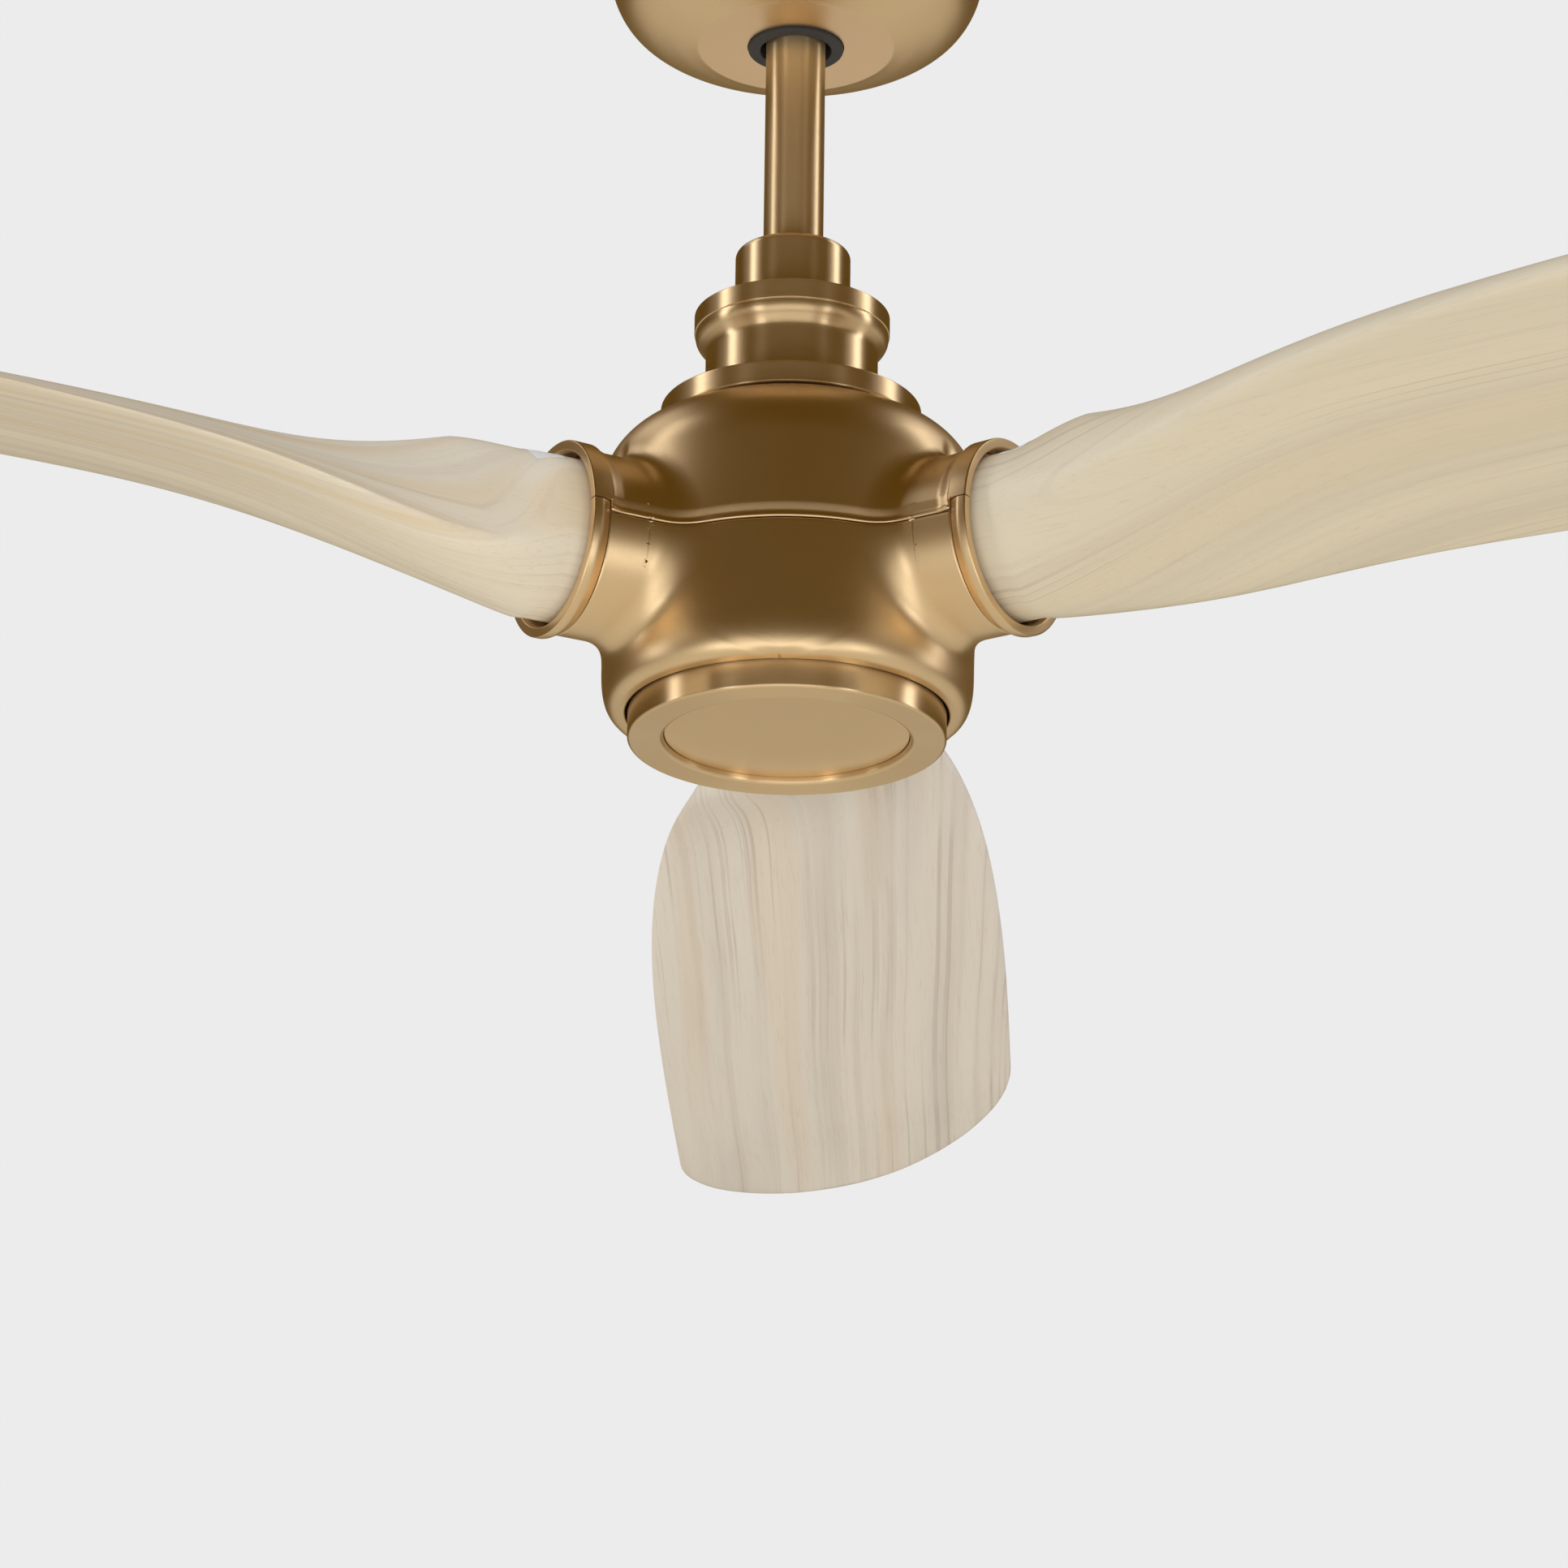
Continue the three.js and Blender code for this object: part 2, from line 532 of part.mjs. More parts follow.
const PIN_HEAD_RADIUS = 4.6;
const PIN_HEAD_AT = -17;
const PIN_END = 21;
const CLIP_AT = 19;
const CLIP_WIRE = 0.6;
const couplingPin = join(
  rodX(PIN_RADIUS, PIN_HEAD_AT, PIN_END, CLEVIS_HEIGHT, 12),
  rodX(PIN_HEAD_RADIUS, PIN_HEAD_AT - 1.6, PIN_HEAD_AT + 0.1, CLEVIS_HEIGHT, 12));
const clipHole = rodX(CLIP_WIRE + 0.35, -8, 8, CLEVIS_HEIGHT, 8)
  .rotateZ(Math.PI / 2)
  .translate(CLIP_AT, 0, 0);
add(drop, "coupling_pin", cut(couplingPin, clipHole), STEEL);

// A hairpin clip through the free end of the cross pin.
const CLIP_LEG = 8;
const CLIP_TAIL = 5;
const CLIP_BEND = 2.6;
const LEG_SHARE = 0.4; // part of the wire that is straight

class HairpinPath extends THREE.Curve {
  getPoint(t, target = new THREE.Vector3()) {
    if (t < LEG_SHARE) return target.set(0, 0, (CLIP_LEG + CLIP_TAIL) * (t / LEG_SHARE) - CLIP_TAIL);
    const turn = ((t - LEG_SHARE) / (1 - LEG_SHARE)) * 1.5 * Math.PI;
    return target.set(
      0, CLIP_BEND * (1 - Math.cos(turn)), CLIP_LEG + CLIP_BEND * Math.sin(turn));
  }
}
const wire = new THREE.Shape().absarc(0, 0, CLIP_WIRE, 0, 2 * Math.PI);
const hitchClip = new THREE.ExtrudeGeometry(wire, {
  steps: 10,
  extrudePath: new HairpinPath(),
  curveSegments: 4,
}).rotateX(Math.PI / 2).translate(CLIP_AT, 0, CLEVIS_HEIGHT);
add(drop, "hitch_clip", hitchClip, STEEL);

const setScrew = rodX(
  SET_SCREW_RADIUS, SHAFT_RADIUS + GAP, COUPLING_RADIUS - 1.5, SET_SCREW_HEIGHT, 10);
[1, 2].forEach((number) => {
  const screw = add(drop, "coupling_set_screw_" + number, setScrew, STEEL);
  screw.rotation.z = Math.PI / 2 + Math.PI * number;
});

// ---- sliding cover -----------------------------------------------------------------------------
const cove = quarter(COVER_NECK_RADIUS, COVE_START, COVER_RIM_RADIUS - 0.5, COVE_END, 2, 3);
const couplingCover = turned([
  [COVER_NECK_RADIUS - COVER_WALL, TOP_PLATE_TOP + GAP], [COVER_NECK_RADIUS, TOP_PLATE_TOP + GAP],
  ...cove, [COVER_RIM_RADIUS, COVER_RIM_BOTTOM], [COVER_RIM_RADIUS, COVER_TOP - 0.6],
  [COVER_RIM_RADIUS - 0.6, COVER_TOP], [COVER_HOLE, COVER_TOP],
  [COVER_HOLE, COVER_TOP - COVER_WALL],
  [COVER_NECK_RADIUS - COVER_WALL, COVER_TOP - COVER_WALL]], 28);
add(drop, "coupling_cover", couplingCover, BRASS);

const collarStep = COUPLING_TOP + 2;
const coverCollar = turned([
  [COVER_HOLE, COVER_TOP + GAP], [COLLAR_PIPE_RADIUS, COVER_TOP + GAP],
  [COLLAR_PIPE_RADIUS, COLLAR_PIPE_TOP - 2.5], [COLLAR_PIPE_RADIUS - 0.8, COLLAR_PIPE_TOP - 0.8],
  [COLLAR_PIPE_RADIUS - 2.5, COLLAR_PIPE_TOP], [ROD_RADIUS + RUNNING_GAP, COLLAR_PIPE_TOP],
  [ROD_RADIUS + RUNNING_GAP, collarStep], [COVER_HOLE, collarStep]], 24);
add(drop, "cover_collar", coverCollar, BRASS);

// ---- downrod and hanger ball -------------------------------------------------------------------
const ROD_TOP = ROD_BOTTOM + ROD_LENGTH;
const downrod = cut(
  ring(ROD_BORE, ROD_RADIUS, ROD_BOTTOM, ROD_TOP, 20),
  rodX(PIN_RADIUS + GAP, -20, 20, CLEVIS_HEIGHT, 10),
  rodX(PIN_RADIUS + GAP, -20, 20, BALL_HEIGHT, 10));
add(drop, "downrod", downrod, BRASS);

// The lead cable runs up beside the hanger pin, inside the rod.
const CABLE_RADIUS = 1.8;
const CABLE_AT = 5.6;
const leadCable = disc(CABLE_RADIUS, ROD_BOTTOM + 3, ROD_TOP + 6, 10).translate(0, CABLE_AT, 0);
add(drop, "lead_cable", leadCable, RUBBER);

const ball = new THREE.Group();
ball.position.z = BALL_HEIGHT;
drop.add(ball);

const BALL_STEPS = 6;
const BALL_FOOT = -15.5; // heights from the ball's centre
const BALL_HEAD = 13;
const BALL_SCREW_HEIGHT = 7;

function hangerBall() {
  const outline = [[BALL_BORE, BALL_FOOT]];
  const from = Math.asin(-BALL_FOOT / BALL_RADIUS);
  const to = Math.asin(BALL_HEAD / BALL_RADIUS);
  for (let i = 0; i <= BALL_STEPS; i++) {
    const angle = -from + ((from + to) * i) / BALL_STEPS;
    outline.push([BALL_RADIUS * Math.cos(angle), BALL_RADIUS * Math.sin(angle)]);
  }
  outline.push([BALL_BORE, BALL_HEAD]);
  return turned(outline, 24);
}
const keySlot = box(6.6, 10, 20, 0, BALL_RADIUS - 3, -12);
add(ball, "hanger_ball", cut(
  hangerBall(),
  rodX(PIN_RADIUS + GAP, -30, 30, 0, 12),
  keySlot,
  rodX(SET_SCREW_HOLE, 0, 30, BALL_SCREW_HEIGHT, 10).rotateZ(-Math.PI / 2)), ALUMINIUM);
add(ball, "hanger_pin", rodX(PIN_RADIUS, -20, 20, 0, 12), STEEL);
const ballSetScrew = rodX(
  SET_SCREW_RADIUS, BALL_BORE + 0.4, BALL_RADIUS - 3, BALL_SCREW_HEIGHT, 10);
add(ball, "ball_set_screw", ballSetScrew.rotateZ(-Math.PI / 2), STEEL);

// ---- canopy and bracket, measured from the ceiling ---------------------------------------------
const SEAT_TOP = BALL_HEIGHT - SEAM_DROP - 14.6;
const SEAT_WALL = 2.4;
const SEAT_HOLE = 17;
const LEG_INSIDE = 30;
const BAR_HALF = 63;
const BRACKET_WIDTH = 36;
const EAR_DROP = 16;
const EAR_WIDTH = 18;
const ROD_SLOT = 24; // the rod enters the seat from one side through this gap
const BOX_SCREW_AT = 46;
const LEAD_HOLE_RADIUS = 14;
const CANOPY_SCREW_HEIGHT = -11;
const CANOPY_SCREW_RADIUS = 1.5;
const CANOPY_SCREW_HEAD = 3.6;

const barSlot = (x) => box(22, 5, 10, x, 0, 0);
const bracketLeg = (side) =>
  box(SEAT_WALL, BRACKET_WIDTH, -SEAT_TOP + SEAT_WALL,
    side * (LEG_INSIDE + SEAT_WALL / 2), 0, (SEAT_TOP - SEAT_WALL) / 2);
const bracketEar = (side) =>
  box(SEAT_WALL, EAR_WIDTH, EAR_DROP, side * (BAR_HALF - SEAT_WALL / 2), 0, -EAR_DROP / 2);
const hangerBracket = cut(
  join(
    box(2 * BAR_HALF, BRACKET_WIDTH, SEAT_WALL, 0, 0, -SEAT_WALL / 2),
    bracketLeg(-1), bracketLeg(1), bracketEar(-1), bracketEar(1),
    box(2 * (LEG_INSIDE + SEAT_WALL), BRACKET_WIDTH, SEAT_WALL, 0, 0, SEAT_TOP - SEAT_WALL / 2)),
  disc(SEAT_HOLE, SEAT_TOP - 5, SEAT_TOP + 2, 24),
  box(ROD_SLOT, 20, 12, 0, -SEAT_HOLE - 4, SEAT_TOP),
  barSlot(-BOX_SCREW_AT), barSlot(BOX_SCREW_AT),
  disc(LEAD_HOLE_RADIUS, -5, 2, 20),
  rodX(CANOPY_SCREW_RADIUS + GAP, -80, 80, CANOPY_SCREW_HEIGHT, 8));
const bracketKey = box(4, 5, SEAT_WALL, 0, SEAT_HOLE + 1.5, SEAT_TOP - SEAT_WALL / 2);
add(fan, "hanger_bracket", join(hangerBracket, bracketKey), STEEL);

function canopyOutline(inset) {
  const bottom = CANOPY_BOTTOM - SEAM_DROP + inset;
  return [
    [35.2 - inset * 0.2, bottom], [45, bottom + 3.1], [54.85 - inset * 0.6, bottom + 7.1],
    [61 - inset * 0.8, bottom + 13], [65.4 - inset, bottom + 20], [67.6 - inset, bottom + 29],
    [CANOPY_RADIUS - inset, bottom + 38]];
}
const CANOPY_RIM = -1.5;
const canopy = cut(
  turned([
    [CANOPY_HOLE, CANOPY_BOTTOM - SEAM_DROP], ...canopyOutline(0), [CANOPY_RADIUS, CANOPY_RIM],
    [CANOPY_RADIUS - CANOPY_WALL, CANOPY_RIM], ...canopyOutline(CANOPY_WALL).reverse(),
    [CANOPY_HOLE, CANOPY_BOTTOM - SEAM_DROP + CANOPY_WALL]], 32),
  rodX(SCREW_HOLE, -80, 80, CANOPY_SCREW_HEIGHT, 8));
add(fan, "canopy", canopy, BRASS);

const canopyScrew = join(
  rodX(CANOPY_SCREW_RADIUS, BAR_HALF - 5, CANOPY_RADIUS + 1, CANOPY_SCREW_HEIGHT, 8),
  rodX(CANOPY_SCREW_HEAD, CANOPY_RADIUS + 0.4, CANOPY_RADIUS + 2.2, CANOPY_SCREW_HEIGHT, 12));
[1, 2].forEach((number) => {
  const screw = add(fan, "canopy_screw_" + number, canopyScrew, BRASS);
  screw.rotation.z = Math.PI * number;
});

const BUSHING_FLANGE = 20;
const BUSHING_LIP = -1.6; // below the canopy's hole
const bushingSeat = CANOPY_WALL + GAP;
const bushingTop = CANOPY_WALL + 3;
const canopyBushing = turned([
  [BUSHING_BORE, BUSHING_LIP], [BUSHING_RADIUS, BUSHING_LIP], [BUSHING_RADIUS, bushingSeat],
  [BUSHING_FLANGE, bushingSeat], [BUSHING_FLANGE, bushingTop], [BUSHING_BORE, bushingTop]], 20);
add(fan, "canopy_bushing", canopyBushing, RUBBER).position.z = CANOPY_BOTTOM - SEAM_DROP;

add(fan, "remote_receiver", box(58, 22, 20, 0, 34, -14), PLASTIC);

export default fan;
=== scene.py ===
"""Looks of the three-blade ceiling fan: fine brass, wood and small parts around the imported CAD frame.

Shapes are written in millimetres, heights from the plane where the two hub shells meet, and a blade
or socket is written along +X and then turned to its own azimuth.
"""

import json
import math

import bmesh
import bpy
import numpy as np
from mathutils import Matrix, Vector


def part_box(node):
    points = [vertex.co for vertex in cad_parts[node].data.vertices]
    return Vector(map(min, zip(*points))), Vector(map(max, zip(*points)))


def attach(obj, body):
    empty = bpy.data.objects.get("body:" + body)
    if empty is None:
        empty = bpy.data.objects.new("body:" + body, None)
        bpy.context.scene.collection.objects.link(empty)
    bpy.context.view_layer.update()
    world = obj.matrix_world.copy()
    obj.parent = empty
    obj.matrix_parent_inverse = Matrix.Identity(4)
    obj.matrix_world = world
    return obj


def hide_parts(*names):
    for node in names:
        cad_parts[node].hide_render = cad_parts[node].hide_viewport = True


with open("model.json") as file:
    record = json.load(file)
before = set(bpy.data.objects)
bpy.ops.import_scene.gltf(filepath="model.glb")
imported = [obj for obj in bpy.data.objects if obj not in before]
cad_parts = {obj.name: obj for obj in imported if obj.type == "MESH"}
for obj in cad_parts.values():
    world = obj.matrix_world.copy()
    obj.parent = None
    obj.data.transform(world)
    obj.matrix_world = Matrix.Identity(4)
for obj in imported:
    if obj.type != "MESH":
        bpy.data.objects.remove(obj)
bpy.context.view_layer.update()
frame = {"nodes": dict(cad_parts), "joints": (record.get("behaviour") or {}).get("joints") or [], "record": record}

MM = 0.001
SEAM = next(j for j in frame["joints"] if j["name"] == "fan_spin")["pos_m"][2] / MM
ARMS = [math.radians(a) for a in (90, 210, 330)]
SHARP_ANGLE = 32  # degrees between faces from which an edge shows as an edge
ARC_STEP = 10  # degrees per straight step of a rounded corner
CURVE_STEPS = 8
WELD = 0.01


# ---- sizes read from the CAD --------------------------------------------------------------------
def radius_of(node):
    """Outer radius of a round node about the fan's axis."""
    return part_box(node)[1].x / MM


def low_of(node):
    """Lowest height of a node above the seam plane."""
    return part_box(node)[0].z / MM - SEAM


def high_of(node):
    """Highest height of a node above the seam plane."""
    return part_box(node)[1].z / MM - SEAM


# ---- mesh tools ---------------------------------------------------------------------------------
def rounded(corners, closed=True):
    """Points of an outline whose corners (radius, height, fillet) are turned into true arcs."""
    points, count = [], len(corners)
    for i, corner in enumerate(corners):
        here = np.array(corner[:2], float)
        fillet = corner[2] if len(corner) > 2 else 0
        if not fillet or (not closed and i in (0, count - 1)):
            points.append(here)
            continue
        back = np.array(corners[i - 1][:2], float) - here
        ahead = np.array(corners[(i + 1) % count][:2], float) - here
        back, ahead = back / np.linalg.norm(back), ahead / np.linalg.norm(ahead)
        turn = math.pi - math.acos(max(-1, min(1, back @ ahead)))
        middle = (back + ahead) / np.linalg.norm(back + ahead)
        centre = here + middle * fillet / math.cos(turn / 2)
        start = here + back * fillet * math.tan(turn / 2) - centre
        end = here + ahead * fillet * math.tan(turn / 2) - centre
        steps = max(2, math.ceil(math.degrees(turn) / ARC_STEP))
        for k in range(steps + 1):
            t = k / steps
            share = math.sin((1 - t) * turn) * start + math.sin(t * turn) * end
            points.append(centre + share / math.sin(turn))
    return points


def curve_through(points):
    """A smooth line through the points, ends included."""
    p = [np.array(q, float) for q in points]
    p = [2 * p[0] - p[1], *p, 2 * p[-1] - p[-2]]
    line = []
    for a, b, c, d in zip(p, p[1:], p[2:], p[3:]):
        for k in range(CURVE_STEPS):
            t = k / CURVE_STEPS
            line.append(
                b + 0.5 * t * (c - a + t * (2 * a - 5 * b + 4 * c - d + t * (3 * (b - c) + d - a)))
            )
    return [*line, p[-2]]


def turned(outline, segments=128):
    """Vertices and faces of an outline turned about Z."""
    verts, rings, faces = [], [], []
    angles = [2 * math.pi * k / segments for k in range(segments)]
    for r, z in outline:
        if r < 1e-6:
            rings.append([len(verts)])
            verts.append((0, 0, z))
        else:
            rings.append(range(len(verts), len(verts) + segments))
            verts += [(r * math.cos(a), r * math.sin(a), z) for a in angles]
    for low, high in zip(rings, [*rings[1:], rings[0]]):
        for k in range(segments):
            n = (k + 1) % segments
            if len(low) > 1 and len(high) > 1:
                faces.append((low[k], low[n], high[n], high[k]))
            elif len(low) > 1:
                faces.append((low[k], low[n], high[0]))
            elif len(high) > 1:
                faces.append((low[0], high[n], high[k]))
    return verts, faces


def grid_faces(rows, columns, wrap_columns=False):
    """Faces of a grid of vertices held row by row."""
    faces = []
    for j in range(rows - 1):
        for k in range(columns if wrap_columns else columns - 1):
            a, b = j * columns, (j + 1) * columns
            n = (k + 1) % columns
            faces.append((a + k, a + n, b + n, b + k))
    return faces


def moved(shape, matrix):
    """The shape with its vertices put through a matrix."""
    verts, faces = shape
    return [tuple(matrix @ Vector(v)) for v in verts], faces


def joined(*shapes):
    """Several shapes as one."""
    verts, faces = [], []
    for v, f in shapes:
        start = len(verts)
        verts += list(v)
        faces += [tuple(i + start for i in face) for face in f]
    return verts, faces


def along_x(shape):
    """Lays a shape that was turned about Z along +X."""
    return moved(shape, Matrix.Rotation(math.pi / 2, 4, "Y"))


def at_arm(shape, arm):
    """Turns a shape written along +X to a blade's azimuth."""
    return moved(shape, Matrix.Rotation(ARMS[arm], 4, "Z"))


def piece(name, shape, material, body, nodes, sharp=SHARP_ANGLE):
    """Makes the shape an object that rides on a body and stands for its CAD nodes."""
    verts, faces = shape
    mesh = bpy.data.meshes.new(name)
    mesh.from_pydata([(x * MM, y * MM, (z + SEAM) * MM) for x, y, z in verts], [], faces)
    work = bmesh.new()
    work.from_mesh(mesh)
    bmesh.ops.remove_doubles(work, verts=work.verts, dist=WELD * MM)
    bmesh.ops.recalc_face_normals(work, faces=work.faces)
    work.to_mesh(mesh)
    work.free()
    mesh.polygons.foreach_set("use_smooth", [True] * len(mesh.polygons))
    mesh.set_sharp_from_angle(angle=math.radians(sharp))
    mesh.materials.append(material)
    made = bpy.data.objects.new(name, mesh)
    bpy.context.scene.collection.objects.link(made)
    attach(made, body)
    if nodes:
        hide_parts(*nodes)
    return made


def even_normals(made):
    """Weights the shading normals by face size, so that wide faces look flat."""
    made.modifiers.new("normals", "WEIGHTED_NORMAL").keep_sharp = True


BORE_CLEARANCE = 0.3
BORE_TOOL_LENGTH = 60  # longer than any bored piece is wide


def bore_across(made, pin):
    """Cuts a hole along X through a piece, for a pin that is a CAD node."""
    low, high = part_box(pin)
    radius, height = (high[1] - low[1]) / 2 + BORE_CLEARANCE * MM, (low[2] + high[2]) / 2
    tool_mesh = bpy.data.meshes.new("tool")
    work = bmesh.new()
    bmesh.ops.create_cone(
        work, cap_ends=True, segments=40, radius1=radius, radius2=radius, depth=BORE_TOOL_LENGTH * MM,
        matrix=Matrix.Translation((0, 0, height)) @ Matrix.Rotation(math.pi / 2, 4, "Y"))
    work.to_mesh(tool_mesh)
    work.free()
    tool = bpy.data.objects.new("tool", tool_mesh)
    bpy.context.scene.collection.objects.link(tool)
    cut = made.modifiers.new("bore", "BOOLEAN")
    cut.object, cut.operation, cut.solver = tool, "DIFFERENCE", "EXACT"
    bored = bpy.data.meshes.new_from_object(
        made.evaluated_get(bpy.context.evaluated_depsgraph_get()))
    made.modifiers.remove(cut)
    made.data = bored
    bored.set_sharp_from_angle(angle=math.radians(SHARP_ANGLE))
    bpy.data.objects.remove(tool)
    bpy.data.meshes.remove(tool_mesh)


# ---- materials ----------------------------------------------------------------------------------
class Nodes:
    """A small builder for one material's nodes."""

    def __init__(self, name):
        self.material = bpy.data.materials.new(name)
        self.material.use_nodes = True
        self.tree = self.material.node_tree
        self.shader = self.tree.nodes["Principled BSDF"]

    def put(self, socket, value):
        if isinstance(value, bpy.types.NodeSocket):
            self.tree.links.new(value, socket)
        elif value is not None:
            socket.default_value = value

    def add(self, kind, settings=None, **inputs):
        node = self.tree.nodes.new("ShaderNode" + kind)
        for key, value in (settings or {}).items():
            setattr(node, key, value)
        for key, value in inputs.items():
            self.put(node.inputs[key.replace("_", " ")], value)
        return node

    def maths(self, operation, a, b):
        node = self.add("Math", {"operation": operation})
        self.put(node.inputs[0], a)
        self.put(node.inputs[1], b)
        return node.outputs[0]

    def place(self):
        return self.add("TexCoord").outputs["Object"]

    def scaled(self, vector, scale, location=(0, 0, 0), rotation=(0, 0, 0)):
        return self.add(
            "Mapping", Vector=vector, Scale=scale, Location=location, Rotation=rotation
        ).outputs[0]

    def noise(self, vector, scale, detail, roughness=0.5):
        return self.add(
            "TexNoise", Vector=vector, Scale=scale, Detail=detail, Roughness=roughness
        ).outputs["Fac"]

    def ramp(self, value, *stops, smooth=False):
        node = self.add("ValToRGB", Fac=value)
        ramp = node.color_ramp
        ramp.interpolation = "EASE" if smooth else "LINEAR"
        while len(ramp.elements) < len(stops):
            ramp.elements.new(0.5)
        for element, (position, colour) in zip(ramp.elements, stops):
            element.position = position
            element.color = (*colour, 1) if isinstance(colour, tuple) else (colour,) * 3 + (1,)
        return node.outputs["Color"]

    def mix(self, share, a, b):
        node = self.add("Mix", {"data_type": "RGBA"})
        self.put(node.inputs[0], share)
        self.put(node.inputs[6], a)
        self.put(node.inputs[7], b)
        return node.outputs[2]

    def between(self, value, low, high):
        node = self.add("MapRange", Value=value, To_Min=low, To_Max=high)
        return node.outputs[0]

    def bump(self, height, strength, distance):
        bump = self.add("Bump", Height=height, Strength=strength, Distance=distance)
        self.put(self.shader.inputs["Normal"], bump.outputs[0])

    def finish(self, **inputs):
        for key, value in inputs.items():
            self.put(self.shader.inputs[key.replace("_", " ")], value)
        return self.material


def brass_material(name, brushed=(1, 1, 1), roughness=(0.33, 0.41), turned_finish=False):
    """Satin brass. A turned finish stretches its highlights across the marks of the lathe."""
    n = Nodes(name)
    if turned_finish:
        around_axis = n.add("Tangent", {"direction_type": "RADIAL", "axis": "Z"}).outputs[0]
        n.finish(Anisotropic=0.92, Anisotropic_Rotation=0.25, Tangent=around_axis)
    place = n.place()
    fine = n.noise(n.scaled(place, brushed), 900, 4, 0.6)
    cloud = n.noise(place, 14, 3)
    colour = n.mix(cloud, (0.81, 0.61, 0.37, 1), (0.87, 0.665, 0.415, 1))
    colour = n.mix(n.between(fine, 0.0, 0.10), colour, (0.55, 0.36, 0.16, 1))
    shade = n.maths("ADD", n.between(fine, *roughness), n.between(cloud, -0.03, 0.03))
    n.bump(fine, 0.045, 0.0002)
    return n.finish(Base_Color=colour, Metallic=1.0, Roughness=shade)


def metal_material(name, light, dark, roughness, scale=(1, 1, 1)):
    """A plain metal with a fine grain and a faint cloudiness."""
    n = Nodes(name)
    place = n.place()
    grain = n.noise(n.scaled(place, scale), 500, 4, 0.6)
    cloud = n.noise(place, 30, 2)
    n.bump(grain, 0.08, 0.0002)
    return n.finish(
        Base_Color=n.mix(cloud, light, dark),
        Metallic=1.0,
        Roughness=n.between(grain, roughness - 0.07, roughness + 0.07),
    )


def dull_material(name, light, dark, roughness, grain_scale, bump):
    """Rubber, plastic or paper with a fine grain."""
    n = Nodes(name)
    place = n.place()
    grain = n.noise(place, grain_scale, 4, 0.6)
    cloud = n.noise(place, 40, 2)
    n.bump(grain, bump, 0.0003)
    return n.finish(
        Base_Color=n.mix(cloud, light, dark),
        Roughness=n.between(grain, roughness - 0.08, roughness + 0.08),
    )


GRAIN_BEND = 0.008  # metres that the layers wander to each side
GRAIN_SLANT = (1.32, 0.02, 0.03)


def wood_material(name, shift, warmth, lit_tone):
    """Pale wood whose growth layers run along the blade and are cut at a slant by the carving.

    Noise scales are per metre along, across and through the layers. The tone is the wood's colour with painted
    light: each blade gets its own lighter or darker tone for how brightly it is lit.
    """
    n = Nodes(name)
    rest = n.add("Attribute", {"attribute_name": "grain"}).outputs["Vector"]
    bend = n.noise(n.scaled(rest, (1.6, 2, 2), shift), 1.0, 2)
    offset = n.add("CombineXYZ", Y=n.between(bend, -GRAIN_BEND, GRAIN_BEND),
                   Z=n.between(bend, -GRAIN_BEND, GRAIN_BEND))
    bent = n.add("VectorMath", {"operation": "ADD"})
    n.put(bent.inputs[0], rest)
    n.put(bent.inputs[1], offset.outputs[0])
    layered = n.scaled(bent.outputs[0], (1, 1, 1), rotation=GRAIN_SLANT)
    broad = n.noise(n.scaled(layered, (1.4, 7, 34), shift), 1.0, 3, 0.55)
    layers = n.noise(n.scaled(layered, (0.7, 5, 170), shift), 1.0, 2, 0.5)
    lines = n.noise(n.scaled(layered, (0.8, 8, 640), shift), 1.0, 2, 0.5)
    fading = n.noise(n.scaled(rest, (4, 30, 30), shift), 1.0, 2)
    pores = n.noise(n.scaled(bent.outputs[0], (24, 1300, 1300), shift), 1.0, 3, 0.6)
    warm = n.noise(n.scaled(layered, (1.3, 8, 46), (shift[1], shift[0], 0.4)), 1.0, 2)
    light, dark = tuple(c * 1.05 for c in lit_tone), tuple(c * 0.90 for c in lit_tone)
    colour = n.ramp(broad, (0.32, dark), (0.50, lit_tone), (0.68, light), smooth=True)
    warm_share = n.maths("MULTIPLY", n.ramp(warm, (0.52, 0.0), (0.66, 1.0), smooth=True), warmth)
    colour = n.mix(warm_share, colour, (0.84, 0.62, 0.33, 1))
    layer_share = n.ramp(layers, (0.34, 0.18), (0.50, 0.0), smooth=True)
    colour = n.mix(layer_share, colour, (0.60, 0.50, 0.42, 1))
    line_depth = n.ramp(fading, (0.42, 0.06), (0.62, 0.34), smooth=True)
    line_share = n.maths(
        "MULTIPLY", n.ramp(lines, (0.36, 1.0), (0.44, 0.0), smooth=True), line_depth)
    colour = n.mix(line_share, colour, (0.47, 0.38, 0.32, 1))
    colour = n.mix(n.ramp(pores, (0.32, 0.16), (0.44, 0.0)), colour, (0.50, 0.40, 0.31, 1))
    n.bump(n.maths("ADD", lines, pores), 0.05, 0.0002)
    return n.finish(
        Base_Color=colour, Roughness=n.between(pores, 0.36, 0.48), Coat_Weight=0.18,
        Coat_Roughness=0.32,
    )


BRASS = brass_material("brass_satin")
BRASS_TURNED = brass_material("brass_turned", (0.08, 0.08, 2), (0.29, 0.37), True)
BRASS_ROD = brass_material("brass_drawn", (0.3, 0.3, 0.3), (0.38, 0.42), True)
STEEL = metal_material("steel_zinc", (0.60, 0.61, 0.63, 1), (0.50, 0.51, 0.53, 1), 0.36)
IRON = metal_material("iron_laminated", (0.26, 0.26, 0.28, 1), (0.18, 0.18, 0.20, 1), 0.5,
                      (0.2, 0.2, 5))
ALUMINIUM = metal_material("aluminium_cast", (0.70, 0.71, 0.73, 1), (0.60, 0.61, 0.64, 1), 0.46)
COPPER = metal_material("copper_enamel", (0.72, 0.32, 0.14, 1), (0.60, 0.24, 0.10, 1), 0.3,
                        (1, 1, 6))
